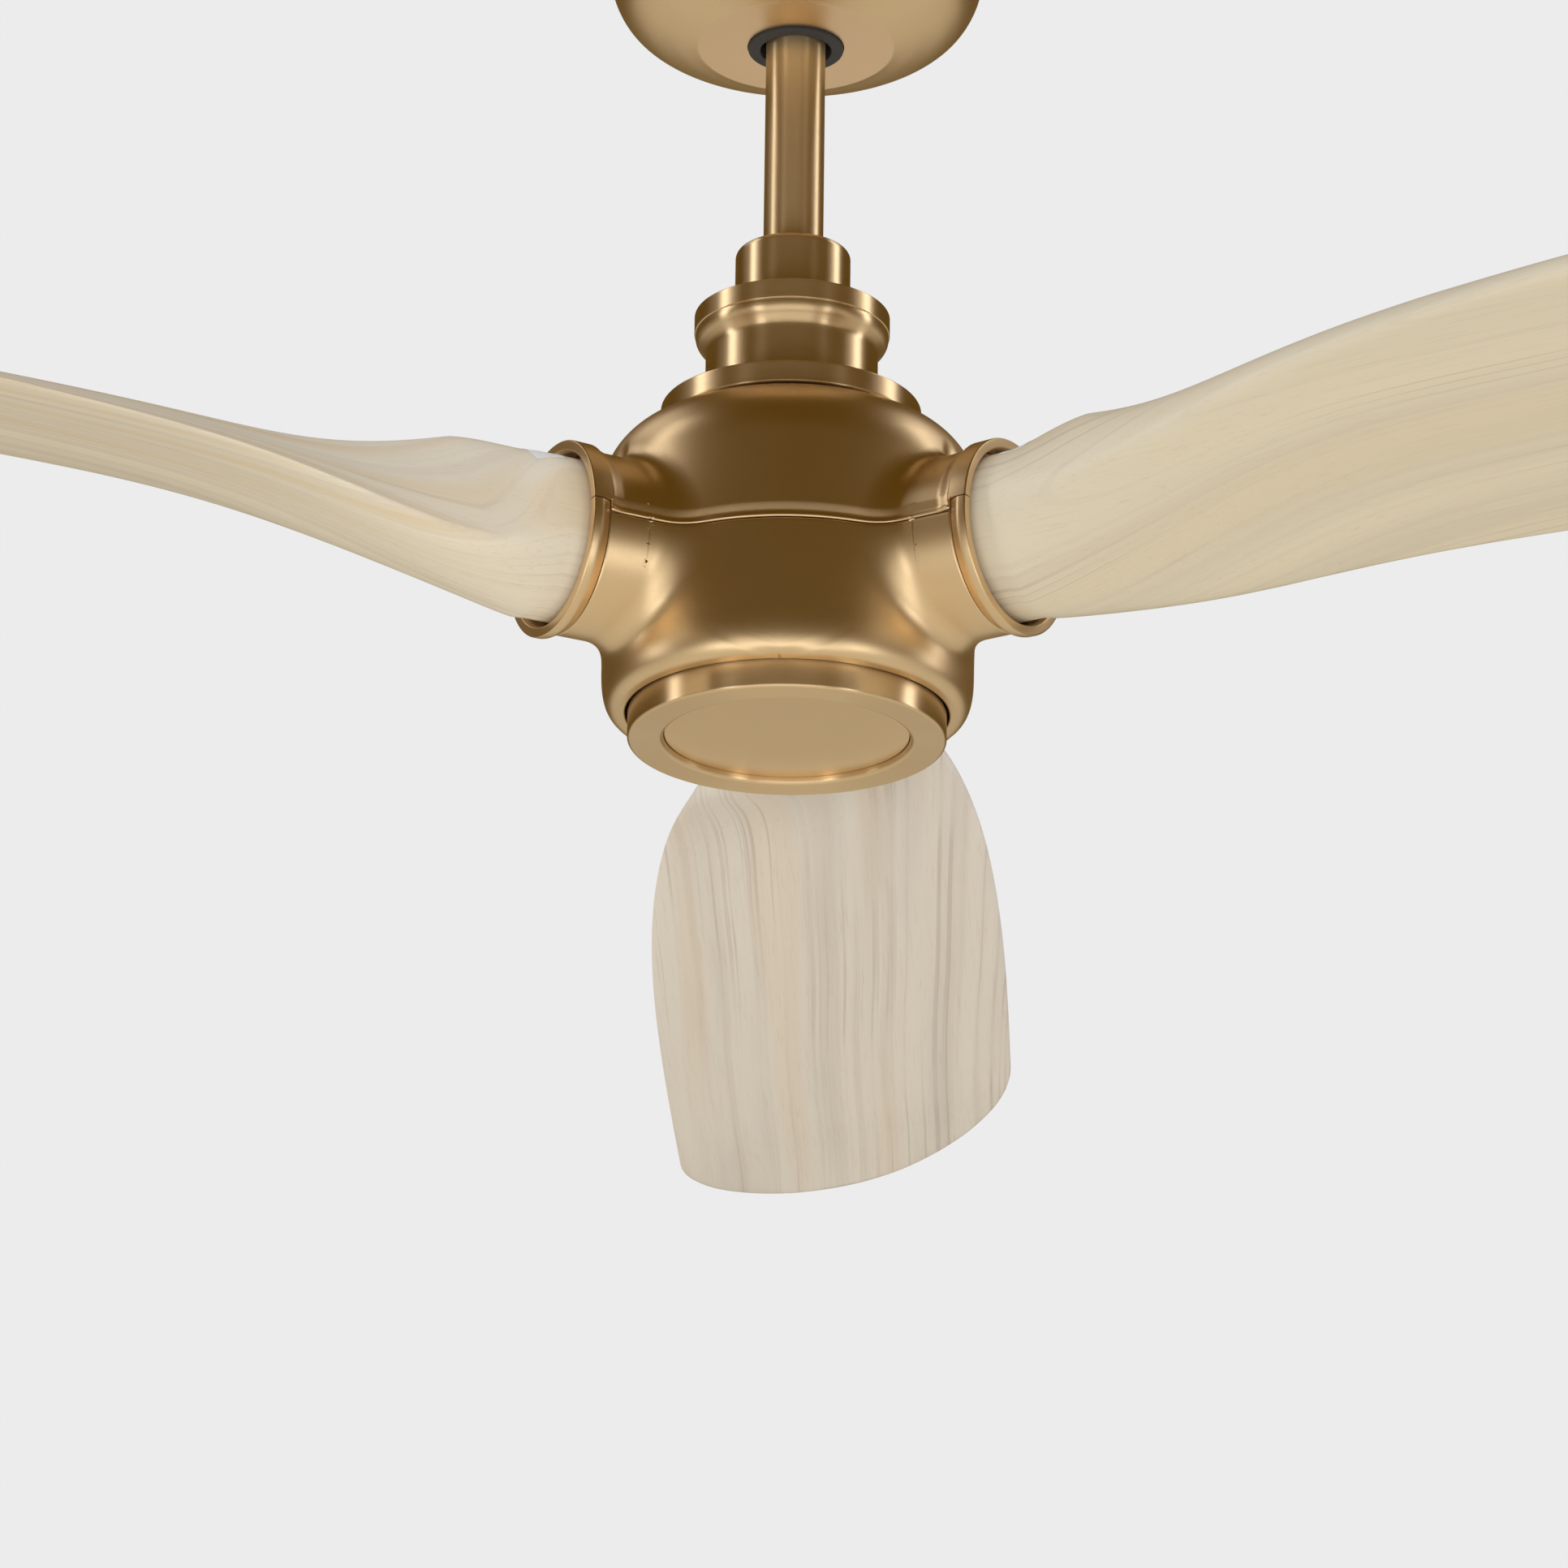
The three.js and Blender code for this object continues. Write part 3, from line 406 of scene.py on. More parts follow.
RUBBER = dull_material("rubber_grey", (0.045, 0.047, 0.052, 1), (0.03, 0.031, 0.035, 1), 0.62,
                       700, 0.2)
PLASTIC = dull_material("plastic_white", (0.80, 0.79, 0.76, 1), (0.76, 0.75, 0.72, 1), 0.48,
                        900, 0.1)
PAPER = dull_material("label_paper", (0.86, 0.86, 0.85, 1), (0.80, 0.80, 0.79, 1), 0.6, 1200, 0.1)
# Each blade's tone is the wood's colour plus painted light and shade: the back blade's is lightest and the right
# blade's darkest, for how brightly each is lit.
WOODS_LIT_PER_BLADE = [
    wood_material("wood_pale_lit_tone_1", (0.3, 1.7, 0.2), 0.16, (0.935, 0.865, 0.81)),
    wood_material("wood_pale_lit_tone_2", (2.1, 0.4, 1.3), 0.5, (0.91, 0.825, 0.68)),
    wood_material("wood_pale_lit_tone_3", (4.6, 2.9, 0.7), 0.10, (0.79, 0.705, 0.55)),
]

SLOT_MATERIALS = {
    "satin_brass": BRASS,
    "steel": STEEL,
    "laminated_iron": IRON,
    "cast_aluminium": ALUMINIUM,
    "copper_winding": COPPER,
    "pale_wood": WOODS_LIT_PER_BLADE[0],
    "black_rubber": RUBBER,
    "white_plastic": PLASTIC,
    "paper_label": PAPER,
}

# Every CAD node first gets the finish of its own slot. Replaced nodes are hidden later.
node_slots = {part["node"]: part["material_slot"] for part in frame["record"]["subparts"]}
for node, made in frame["nodes"].items():
    material = SLOT_MATERIALS[node_slots[node]]
    if made.material_slots:
        made.material_slots[0].material = material
    else:
        made.data.materials.append(material)

# ---- turned brass -------------------------------------------------------------------------------
SHAFT_HOLE_R = 7.5
COVER_HOLE_R = 17
COVER_WALL = 2
COVE_DEPTH = 4.15  # the rim stands out this far beyond the neck
COVE_START = 16.4  # drop from the cover's top to where the neck starts to widen
COVE = (  # (radius beyond the neck, drop from the cover's top)
    (0, 15.9), (0.15, 14.8), (0.7, 13.6), (1.7, 12.2), (2.8, 10.9), (3.45, 9.7), (3.7, 8.6),
    (3.72, 7.7))
RIM_DEPTH = 7.1
RIM_STEP = 0.43
COLLAR_HOLE_R = 11.2  # the collar's hole around the downrod
COLLAR_FLANGE_TOP = 108
HOUSING_UNDERSIDE = -49.4
HOUSING_RIM_TOP = -47
HOUSING_TOP = -46.6
CAP_GAP = 0.25
CAP_EDGE = 0.5
ROD_HOLE_R = 7.9

plate_r, plate_low, plate_high = radius_of("top_plate"), low_of("top_plate"), high_of("top_plate")
top_plate = piece(
    "top_plate_brass",
    turned(rounded([
        (SHAFT_HOLE_R, plate_low), (plate_r, plate_low, 0.8), (plate_r, plate_high, 0.7),
        (SHAFT_HOLE_R, plate_high)])),
    BRASS_TURNED, "hanging", ["top_plate"])

rim_r, cover_low, cover_high = (
    radius_of("coupling_cover"), low_of("coupling_cover"), high_of("coupling_cover"))
neck_r = rim_r - COVE_DEPTH
step_r = rim_r - RIM_STEP
beneath_r = neck_r - COVER_WALL
cover = piece(
    "coupling_cover_brass",
    turned([
        *rounded([(beneath_r, cover_high - COVER_WALL), (beneath_r, cover_low),
                  (neck_r, cover_low, 0.3), (neck_r, cover_high - COVE_START)], closed=False),
        *curve_through([(neck_r + r, cover_high - drop) for r, drop in COVE]),
        *rounded([(step_r, cover_high - RIM_DEPTH - 0.5),
                  (step_r, cover_high - RIM_DEPTH - 0.1, 0.15),
                  (rim_r, cover_high - RIM_DEPTH, 0.35), (rim_r, cover_high, 0.6),
                  (COVER_HOLE_R, cover_high, 0.3), (COVER_HOLE_R, cover_high - COVER_WALL)],
                 closed=False)]),
    BRASS_TURNED, "cover", ["coupling_cover"])

pipe_r, pipe_low, pipe_high = (
    radius_of("cover_collar"), low_of("cover_collar"), high_of("cover_collar"))
cover_collar = piece(
    "cover_collar_brass",
    turned(rounded([
        (COVER_HOLE_R, pipe_low), (pipe_r, pipe_low, 0.3), (pipe_r, pipe_high, 2.6),
        (COLLAR_HOLE_R, pipe_high, 0.6), (COLLAR_HOLE_R, COLLAR_FLANGE_TOP),
        (COVER_HOLE_R, COLLAR_FLANGE_TOP)])),
    BRASS_TURNED, "cover", ["cover_collar"])

house_r, house_low = radius_of("switch_housing"), low_of("switch_housing")
recess_r, cap_face = radius_of("bottom_cap") + 0.3, low_of("bottom_cap")
housing = piece(
    "switch_housing_brass",
    turned(rounded([
        (SHAFT_HOLE_R, HOUSING_UNDERSIDE), (house_r - 5, HOUSING_UNDERSIDE),
        (recess_r, cap_face + 0.6), (recess_r, house_low, 1.6), (house_r, house_low, 1.1),
        (house_r, HOUSING_RIM_TOP, 0.8), (house_r - 3, HOUSING_RIM_TOP),
        (house_r - 3, HOUSING_TOP), (SHAFT_HOLE_R, HOUSING_TOP)])),
    BRASS_TURNED, "hanging", ["switch_housing"])
bottom_cap = piece(
    "bottom_cap_brass",
    turned(rounded([
        (0, cap_face), (recess_r - 1.6, cap_face), (recess_r - CAP_GAP, cap_face - 0.15, 0.3),
        (recess_r - CAP_GAP, cap_face + CAP_EDGE), (0, cap_face + CAP_EDGE)])),
    BRASS, "hanging", ["bottom_cap"])

rod_r, rod_low, rod_high = radius_of("downrod"), low_of("downrod"), high_of("downrod")
rod_rings = (rod_low + 2, rod_low + 14, rod_high - 14, rod_high - 2)  # keep each bore local
rod = piece(
    "downrod_brass",
    turned(rounded([
        (ROD_HOLE_R, rod_low), (rod_r, rod_low, 0.5), *((rod_r, z) for z in rod_rings),
        (rod_r, rod_high, 0.5), (ROD_HOLE_R, rod_high),
        *((ROD_HOLE_R, z) for z in reversed(rod_rings))]),
        segments=96),
    BRASS_ROD, "hanging", ["downrod"])
bore_across(rod, "coupling_pin")
bore_across(rod, "hanger_pin")

# ---- canopy -------------------------------------------------------------------------------------
# Its outline is (radius, height above its lowest point).
CANOPY_WALL = 1.2
CANOPY_HOLE_R = 17.4
CANOPY_TOP_DROP = 1.5  # the rim stops this far below the ceiling
BUSHING_HOLE_R = 12.7

canopy_low, canopy_r = low_of("canopy"), radius_of("canopy")
canopy_rise = -CANOPY_TOP_DROP - SEAM - canopy_low
side = curve_through([
    (37, 0.6), (45, 3.1), (54.2, 7.1), (61, 12.6), (65.4, 20), (67.6, 29), (canopy_r, 38)])
outer = [(34.8, 0), (35.6, 0.12), *side, (canopy_r, canopy_rise)]
inner = [
    (r - CANOPY_WALL * min(1, r / 60),
     z + (CANOPY_WALL if r < 55 else CANOPY_WALL / 2 if r < 64 else 0))
    for r, z in reversed(outer[:-1])]
canopy_line = [
    (CANOPY_HOLE_R, 0), *outer, (canopy_r - CANOPY_WALL, canopy_rise), *inner,
    (CANOPY_HOLE_R, CANOPY_WALL)]
canopy = piece(
    "canopy_brass",
    turned([(r, z + canopy_low) for r, z in canopy_line], segments=144),
    BRASS, "ceiling", ["canopy"])

bush_low = low_of("canopy_bushing")
bushing = piece(
    "canopy_bushing_rubber",
    turned([(r, z + bush_low + 1.6) for r, z in rounded([
        (BUSHING_HOLE_R, -1.6, 0.5), (17.1, -1.6, 0.7), (17.1, 1.5), (20, 1.5), (20, 4.2),
        (BUSHING_HOLE_R, 4.2)])], segments=96),
    RUBBER, "ceiling", ["canopy_bushing"])

for made in (top_plate, cover, cover_collar, housing, bottom_cap, rod, canopy, bushing):
    even_normals(made)

# A thumb screw holds the canopy on each side.
thumb_screw = along_x(turned(rounded([
    (0, 58), (1.5, 58, 0.4), (1.5, canopy_r + 0.4), (3.0, canopy_r + 0.4, 0.2),
    (3.6, canopy_r + 0.9, 0.2), (3.6, canopy_r + 1.7, 0.4), (2.0, canopy_r + 2.1, 0.3),
    (1.6, canopy_r + 1.5, 0.1), (0, canopy_r + 1.5)]), segments=48))
for number in (1, 2):
    node = "canopy_screw_" + str(number)
    low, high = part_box(node)
    facing = moved(thumb_screw, Matrix.Rotation(math.pi if high[0] < 0 else 0, 4, "Z"))
    height = (low[2] + high[2]) / 2 / MM - SEAM
    piece("canopy_thumb_screw_" + str(number),
          moved(facing, Matrix.Translation((0, 0, height))), BRASS, "ceiling", [node],
          sharp=40)

# ---- hub shells ---------------------------------------------------------------------------------
# Each shell is a smooth blend of a rounded barrel and three sockets. A third of it is found by
# casting rays outwards from the socket's axis onto that blend, and is then turned to each azimuth.
NECK_R = 32.2
COLLAR_R = 34.3
POCKET_FLOOR = 29.4
POCKET_AT = 73.5
POCKET_R = 8.6
POCKET_EDGE = 0.8
SCREW_AT = 76
SOCKET_END = 84.65
MEET = 73  # distance where the plain socket starts to blend into the barrel
TAPER = 0.0224  # the barrel widens upwards by this much per millimetre
SHOULDER = 33
BELLY = -32
SHELL_WALL = 1.2
RAY_REACH = 96
RAY_STEP = 0.8


def smooth_step(value, low, high):
    """Rises smoothly from 0 at low to 1 at high."""
    t = np.clip((value - low) / (high - low), 0, 1)
    return t * t * (3 - 2 * t)


def blend_min(a, b, reach):
    """The smaller of two distances, rounded where they are within reach of each other."""
    share = np.maximum(reach - np.abs(a - b), 0) / reach
    return np.minimum(a, b) - share * share * reach / 4


def blend_max(a, b, reach):
    return -blend_min(-a, -b, reach)


def corner_distance(r, z, inner_r, inner_z, wide, tall, power):
    """About the distance outside a barrel whose edge is a rounded corner."""
    a = np.maximum(r - inner_r, 0) / wide
    b = np.maximum(z - inner_z, 0) / tall
    return wide * ((a**power + b**power) ** (1 / power) - 1)


def upper_field(x, y, z):
    """About the distance outside the upper shell: barrel, socket and screw pocket."""
    r = np.hypot(x, y) + 0.74 - TAPER * np.minimum(z, SHOULDER)
    barrel = corner_distance(r, z, 40, SHOULDER, 26, 24.3, 2.0)
    swell = 0.6 * smooth_step(x, 79.0, 84.6)
    neck = np.hypot(y, z) - (NECK_R + (COLLAR_R - NECK_R) * swell)
    skin = blend_min(neck, barrel, 7)
    pocket = np.maximum(np.hypot(x - POCKET_AT, y) - POCKET_R, POCKET_FLOOR - z)
    return blend_max(skin, -pocket, POCKET_EDGE)


def lower_field(x, y, z):
    """About the distance outside the lower shell: barrel and socket."""
    r = np.hypot(x, y) - 0.72 - TAPER * np.maximum(z, BELLY)
    barrel = corner_distance(r, -z, 57.5, -BELLY, 7, 16, 2.83)
    neck = np.hypot(y, z) - NECK_R
    return blend_min(neck, barrel, 9)


def cast(field, x, tilt, height, across, rise, inset):
    """Where rays from the socket's axis meet the skin. Each ray leans along X by its tilt."""
    def at(s):
        return (
            x + s * np.sin(tilt), s * np.cos(tilt) * across, height + s * np.cos(tilt) * rise)

    steps = np.arange(0, RAY_REACH, RAY_STEP)
    outside = np.array([field(*at(s)) + inset > 0 for s in steps])
    far = steps[np.argmax(outside, axis=0)]
    near = far - RAY_STEP
    for _ in range(16):
        s = (near + far) / 2
        out = field(*at(s)) + inset > 0
        near, far = np.where(out, near, s), np.where(out, s, far)
    return np.stack(at(near), axis=1)


TUBE_COLUMNS = 16
FAN_COLUMNS = 60
tube_x = np.linspace(SOCKET_END, MEET, TUBE_COLUMNS)
fan_share = np.linspace(0, 1, 420)
fan_x = np.interp(fan_share, [0, 0.45, 1], [MEET, 45, 26])
fan_tilt = np.radians(np.interp(fan_share, [0, 0.45, 1], [0, 38, -42]))


def skin_row(field, height, across, rise, inset, mouth):
    """One row of the skin, from the socket's end to the next sector or the shell's mouth."""
    tube = cast(field, tube_x, np.zeros(TUBE_COLUMNS), height, across, rise, inset)
    line = cast(field, fan_x, fan_tilt, height, across, rise, inset)
    sector = line[:, 0] * math.sin(math.pi / 3) - line[:, 1] * math.cos(math.pi / 3)
    left = np.minimum(sector, np.hypot(line[:, 0], line[:, 1]) - mouth)
    stop = int(np.argmax(left < 0))
    t = left[stop - 1] / (left[stop - 1] - left[stop])
    line = np.vstack([line[:stop], line[stop - 1] + t * (line[stop] - line[stop - 1])])
    length = np.concatenate([[0], np.cumsum(np.linalg.norm(np.diff(line, axis=0), axis=1))])
    even = np.linspace(0, length[-1], FAN_COLUMNS)
    fan = np.stack([np.interp(even, length, line[:, i]) for i in range(3)], axis=1)
    return np.vstack([tube, fan[1:]])


def hub_sector(field, seam_rows, centre, sign, mouth, corner):
    """Rows from the seam over the socket to its crest, then the same rows mirrored in Y."""
    rows = [skin_row(field, z, 1, 0, inset, mouth) for z, inset in seam_rows]
    angles = np.linspace(0, math.pi / 2, 49)
    if corner:
        turn = math.atan2(abs(corner[1] - centre), corner[0] * math.sin(math.pi / 3))
        angles[np.argmin(np.abs(angles - turn))] = turn
    rows += [skin_row(field, centre, math.cos(a), sign * math.sin(a), 0, mouth) for a in angles]
    rows += [row * np.array([1, -1, 1]) for row in reversed(rows[:-1])]
    columns = len(rows[0])
    return [tuple(v) for v in np.vstack(rows)], grid_faces(len(rows), columns)


def around(shape):
    """The shape three times, once at each azimuth."""
    return joined(*(at_arm(shape, arm) for arm in range(3)))


# Each shell's edge at the seam, as (height, inset). The upper one is a rolled bead with a chamfer
# that faces down above it.
UPPER_EDGE = [
    (0.10, 0.9), (0.15, 0.55), (0.32, 0.25), (0.6, 0.06), (0.95, 0.0), (1.25, 0.08), (1.5, 0.3),
    (1.7, 0.62), (1.95, 0.78), (3.0, 0.55), (4.1, 0.28), (5.1, 0.06), (5.5, 0.0), (6.0, 0.0)]
LOWER_EDGE = [(-0.15, 0.8), (-0.22, 0.5), (-0.4, 0.22), (-0.7, 0.06), (-1.0, 0.0)]


def collar_half(profile, seam, sign):
    """A profile (distance, radius) swept round half the socket, with flat ends at the seam."""
    steps = 72
    verts = []
    for k in range(steps + 1):
        for x, r in profile:
            start = math.asin(seam * sign / r)
            a = sign * (start + (math.pi - 2 * start) * k / steps)
            verts.append((x, r * math.cos(a), r * math.sin(a)))
    count = len(profile)
    faces = grid_faces(steps + 1, count, wrap_columns=True)
    faces += [tuple(range(count)), tuple(range(steps * count, (steps + 1) * count))[::-1]]
    return verts, faces


UPPER_RING = rounded([
    (84.75, 30.6), (84.75, 34.25, 0.15), (91.7, 34.4, 0.6), (91.7, 31.0, 0.5), (89.5, 30.4, 0.3)])
LOWER_RING = rounded([
    (85.1, 30.6), (85.1, 32.35, 0.2), (88.4, 34.4, 3.5), (91.7, 34.4, 0.6), (91.7, 31.0, 0.5),
    (89.5, 30.4, 0.3)])

upper_ring = collar_half(UPPER_RING, 3.75, 1)
lower_ring = collar_half(LOWER_RING, 3.35, -1)

upper = piece(
    "hub_upper_shell_brass",
    around(hub_sector(upper_field, UPPER_EDGE, 6.5, 1, 20, None)),
    BRASS, "rotor", ["hub_upper_shell"], sharp=50)
lower = piece(
    "hub_lower_shell_brass",
    around(hub_sector(lower_field, LOWER_EDGE, -1.5, -1, 56.2, (56.2, -48))),
    BRASS, "rotor", ["hub_lower_shell"], sharp=50)
for made in (upper, lower):
    wall = made.modifiers.new("wall", "SOLIDIFY")
    wall.thickness, wall.offset = SHELL_WALL * MM, -1

# A round-headed screw with a driver recess sits in the pocket on top of each socket.
screw = moved(turned(rounded([
    (0, 14), (2, 14, 0.5), (2, POCKET_FLOOR + 0.05), (4.2, POCKET_FLOOR + 0.05, 0.2),
    (4.2, 31.6, 1.2), (1.9, 32.4, 0.2), (1.9, 31.0), (0, 31.0)]), segments=48),
    Matrix.Translation((SCREW_AT, 0, 0)))

for arm in range(3):
    number = str(arm + 1)
    piece("blade_screw_steel_" + number, at_arm(screw, arm), STEEL, "rotor",
          ["blade_screw_" + number], sharp=40)
    piece("collar_upper_" + number, at_arm(upper_ring, arm), BRASS, "rotor", [],
          sharp=40)
    piece("blade_clamp_brass_" + number, at_arm(lower_ring, arm), BRASS, "rotor",
          ["blade_clamp_" + number], sharp=40)

# ---- blades -------------------------------------------------------------------------------------
SPAN = 762
ROOT_R = 29.2
ROOT_START = 51
FLARE = 96  # distance where the round shank starts to widen into the blade
CHORD_GROWTH = 48.8
LEAD_ROUND_START = 635  # distances where the two edges start to round towards the tip
TRAIL_ROUND_START = 675
PITCH = 12.6  # degrees, far out
ROOT_TWIST = 22.8  # degrees more at the root
UNDER_DEPTH = 2.5
OVER_DEPTH = 16.7
SHANK_DEPTH = 12.5  # extra depth above at the shank
SECTION_POINTS = 160
LABEL_START, LABEL_END = 94, 105.5
LABEL_SIDES = (52, 128)  # degrees round the shank
LABEL_ROWS, LABEL_COLUMNS = 8, 40
LABEL_LIFT = 0.16
LABEL_THICKNESS = 0.1


def edge_share(distance, start):
    """Share of the full half chord, falling along a quarter ellipse from start to the tip."""
    return math.sqrt(1 - max(0.0, (distance - start) / (SPAN - start)) ** 2)


def blade_law(distance):
    """Half chords, pitch, middle and depths of a blade's section at a distance from the axis."""
    run = max(0.0, distance - FLARE)
    half = ROOT_R + CHORD_GROWTH * (1 - math.exp(-((run / 149) ** 1.22)))
    lead = half * edge_share(distance, LEAD_ROUND_START)
    trail = half * edge_share(distance, TRAIL_ROUND_START)
    thin = min(1.0, (lead + trail) / 60)
    early = run / 60.7
    return {
        "middle": 1.5 * (1 - math.exp(-((run / 117) ** 1.5))) + (trail - lead) / 2,
        "half": (lead + trail) / 2,
        "pitch": math.radians(PITCH + ROOT_TWIST * math.exp(-((run / 20) ** 0.52))),
        "lift": (
            2.5 * (1 - math.exp(-((run / 120) ** 2)))
            - 14.3 * early * math.exp(-0.7 * early**2)),
        "under": thin * (
            UNDER_DEPTH + (ROOT_R - UNDER_DEPTH) * math.exp(-((run / 53.5) ** 1.23))),
        "over": thin * (
            OVER_DEPTH - 0.008 * run + SHANK_DEPTH * math.exp(-((run / 70) ** 2.28))),
        "lean": min(0.97, (1 - math.exp(-((run / 24.4) ** 1.5)))
                    * (0.35 + 0.95 * math.exp(-run / 421))),
    }


def blade_section(distance):
    """One section, anticlockwise from the trailing edge, at even steps with softened creases."""
    law = blade_law(distance)
    angle = np.linspace(0, 2 * math.pi, 721)[:-1]
    s, h = np.cos(angle), np.abs(np.sin(angle))
    top = law["over"] * h * (1 - law["lean"] * s)
    up = np.where(angle < math.pi, top, -law["under"] * h)
    c, p = math.cos(law["pitch"]), math.sin(law["pitch"])
    y = law["middle"] + law["half"] * s * c + up * p
    z = law["lift"] + up * c - law["half"] * s * p
    loop = np.stack([np.append(y, y[0]), np.append(z, z[0])], axis=1)
    length = np.concatenate([[0], np.cumsum(np.linalg.norm(np.diff(loop, axis=0), axis=1))])
    even = np.linspace(0, length[-1], SECTION_POINTS + 1)[:-1]
    points = np.stack([np.interp(even, length, loop[:, i]) for i in (0, 1)], axis=1)
    for _ in range(2):
        points = (np.roll(points, 1, 0) + 2 * points + np.roll(points, -1, 0)) / 4
    return points


def blade_shape():
    """The whole blade, with sections closer together where it widens and at its tip."""
    inner = np.linspace(ROOT_START, FLARE, 4)
    flare = np.linspace(FLARE + 2.5, 280, 74)
    paddle = np.linspace(285, 700, 70)
    tip = SPAN - 62 * (1 - np.sin(np.linspace(0, math.pi / 2, 26))) - 0.15
    verts = []
    for distance in np.concatenate([inner, flare, paddle, tip[1:]]):
        verts += [(distance, y, z) for y, z in blade_section(distance)]
    rows = len(verts) // SECTION_POINTS
    faces = grid_faces(rows, SECTION_POINTS, wrap_columns=True)
    for row in (0, rows - 1):
        loop = list(range(row * SECTION_POINTS, (row + 1) * SECTION_POINTS))
        middle = np.mean([verts[i] for i in loop], axis=0)
        verts.append(tuple(middle))
        faces += [(loop[k], loop[(k + 1) % SECTION_POINTS], len(verts) - 1)
                  for k in range(SECTION_POINTS)]
    return verts, faces


def label_patch():
    """A thin plain label that lies on the wood over the top of the shank."""
    verts = []
    for distance in np.linspace(LABEL_START, LABEL_END, LABEL_ROWS):
        points = blade_section(distance)
        middle = points.mean(axis=0)
        turn = np.arctan2(points[:, 1] - middle[1], points[:, 0] - middle[0])
        order = np.argsort(turn)
        reach = np.hypot(*(points - middle).T)
        for a in np.radians(np.linspace(*LABEL_SIDES, LABEL_COLUMNS)):
            r = np.interp(a, turn[order], reach[order]) + LABEL_LIFT
            verts.append((distance, middle[0] + r * math.cos(a), middle[1] + r * math.sin(a)))
    return verts, grid_faces(LABEL_ROWS, LABEL_COLUMNS)


def keep_grain(made, arm):
    """Stores each vertex's place along the blade, for the wood's grain."""
    turn = Matrix.Rotation(-ARMS[arm], 3, "Z")
    places = made.data.attributes.new("grain", "FLOAT_VECTOR", "POINT")
    local = [turn @ Vector((v.co.x, v.co.y, v.co.z - SEAM * MM)) for v in made.data.vertices]
    places.data.foreach_set("vector", [c for v in local for c in v])


blade = blade_shape()
label = label_patch()
for arm in range(3):
    number = str(arm + 1)
    made = piece("blade_wood_" + number, at_arm(blade, arm), WOODS_LIT_PER_BLADE[arm], "rotor",
                 ["blade_" + number], sharp=70)
    keep_grain(made, arm)
    paper = piece("balance_label_paper_" + number, at_arm(label, arm), PAPER, "rotor",
                  ["balance_label_" + number])
    sheet = paper.modifiers.new("sheet", "SOLIDIFY")
    sheet.thickness, sheet.offset = LABEL_THICKNESS * MM, 1

# ---- camera -------------------------------------------------------------------------------------
CAMERA_PLACE = (0.0896, -1.973, -1.042)
CAMERA_LENS = 140
CAMERA_PAN = 2.622  # degrees to the left of straight ahead
CAMERA_RISE = 19.7  # degrees upwards
CAMERA_ROLL = 0.76

camera = bpy.data.objects.new("camera", bpy.data.cameras.new("camera"))
bpy.context.scene.collection.objects.link(camera)
camera.data.lens = CAMERA_LENS
camera.data.sensor_width = 36
camera.data.clip_start, camera.data.clip_end = 0.05, 60
camera.matrix_world = (
    Matrix.Translation(CAMERA_PLACE)
    @ Matrix.Rotation(math.radians(CAMERA_PAN), 4, "Z")
    @ Matrix.Rotation(math.radians(90 + CAMERA_RISE), 4, "X")
    @ Matrix.Rotation(math.radians(CAMERA_ROLL), 4, "Z")
)
bpy.context.scene.camera = camera

# ---- studio -------------------------------------------------------------------------------------
HUB = Vector((0, 0, SEAM * MM))
BACKDROP = (0.838, 0.838, 0.838)
REFLECTED_ROOM = (0.100, 0.054, 0.0)
ROOM_LIGHT = 0.72
FLOOR_Z = -2.45
FLOOR_REACH = 9


def softbox(name, bearing, elevation, distance, width, height, brightness):
    """A soft light seen from the hub at a bearing, in degrees clockwise from the camera's side."""
    data = bpy.data.lights.new(name, "AREA")
    data.shape, data.size, data.size_y = "RECTANGLE", width, height
    data.energy = brightness * math.pi * width * height
    made = bpy.data.objects.new(name, data)
    bpy.context.scene.collection.objects.link(made)
    b, e = math.radians(bearing), math.radians(elevation)
    away = Vector((-math.sin(b) * math.cos(e), -math.cos(b) * math.cos(e), math.sin(e)))
    made.matrix_world = (
        Matrix.Translation(HUB + distance * away) @ away.to_track_quat("Z", "Y").to_matrix().to_4x4()
    )
    made.visible_camera = False


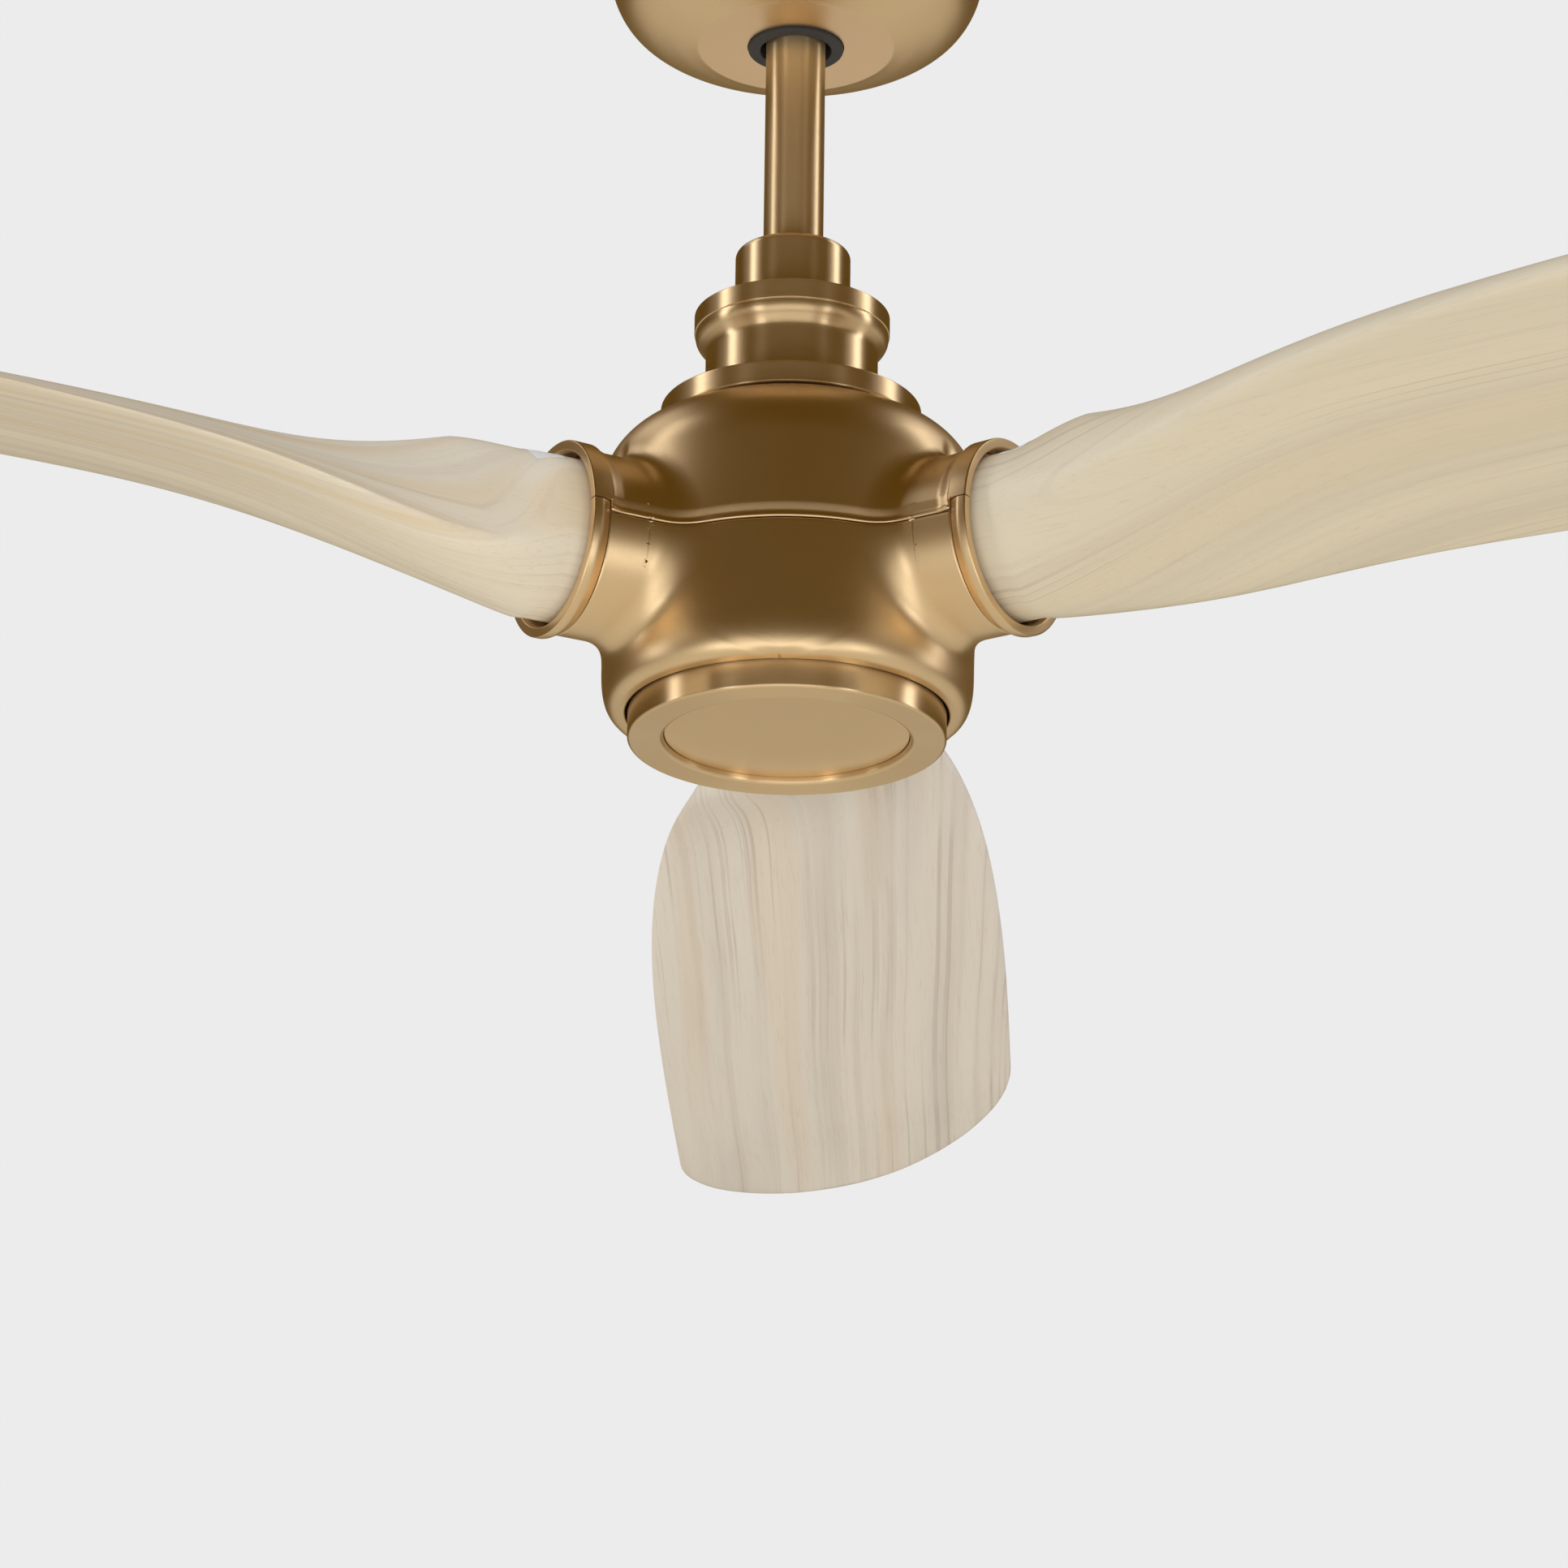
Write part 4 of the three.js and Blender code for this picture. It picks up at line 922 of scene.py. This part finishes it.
# Name, bearing, elevation, distance, width, height, brightness.
softbox("left_side", 83, 20, 2.6, 0.46, 2.8, 2.7)
softbox("left_inner", 39, -26, 2.2, 0.4, 0.8, 2.8)
softbox("right_inner", -48, -26, 2.2, 0.4, 0.8, 2.8)
softbox("right_side", -99, 20, 2.6, 0.46, 2.8, 2.7)
softbox("front_low", 0, -46, 2.0, 1.9, 0.8, 0.9)
softbox("front_fill", 0, -25, 2.4, 2.0, 1.2, 0.25)
softbox("back_left", 118, 46, 2.6, 0.9, 0.9, 0.9)
softbox("back_right", -118, 46, 2.6, 0.9, 0.9, 0.9)

world = bpy.data.worlds.new("studio")
bpy.context.scene.world = world
world.use_nodes = True
sky = world.node_tree
sky.nodes.clear()
rays = sky.nodes.new("ShaderNodeLightPath")
output = sky.nodes.new("ShaderNodeOutputWorld")


def sky_light(colour, strength=1.0):
    """An even light from all round."""
    node = sky.nodes.new("ShaderNodeBackground")
    node.inputs["Color"].default_value = (*colour, 1)
    node.inputs["Strength"].default_value = strength
    return node.outputs[0]


def sky_choice(share, a, b):
    """The first light where share is 0, and the second where it is 1."""
    node = sky.nodes.new("ShaderNodeMixShader")
    sky.links.new(share, node.inputs[0])
    sky.links.new(a, node.inputs[1])
    sky.links.new(b, node.inputs[2])
    return node.outputs[0]


soft = sky_choice(
    rays.outputs["Is Glossy Ray"], sky_light((1, 1, 1), ROOM_LIGHT), sky_light(REFLECTED_ROOM))
sky.links.new(
    sky_choice(rays.outputs["Is Camera Ray"], soft, sky_light(BACKDROP)),
    output.inputs[0])

floor = bpy.data.objects.new("floor", bpy.data.meshes.new("floor"))
floor_corners = [(-1, -1), (1, -1), (1, 1), (-1, 1)]
floor.data.from_pydata(
    [(x * FLOOR_REACH, y * FLOOR_REACH, FLOOR_Z) for x, y in floor_corners], [], [(0, 1, 2, 3)])
paint = Nodes("floor_pale")
floor.data.materials.append(paint.finish(Base_Color=(0.80, 0.745, 0.62, 1), Roughness=0.8))
bpy.context.scene.collection.objects.link(floor)

bpy.context.scene.view_settings.view_transform = "Standard"
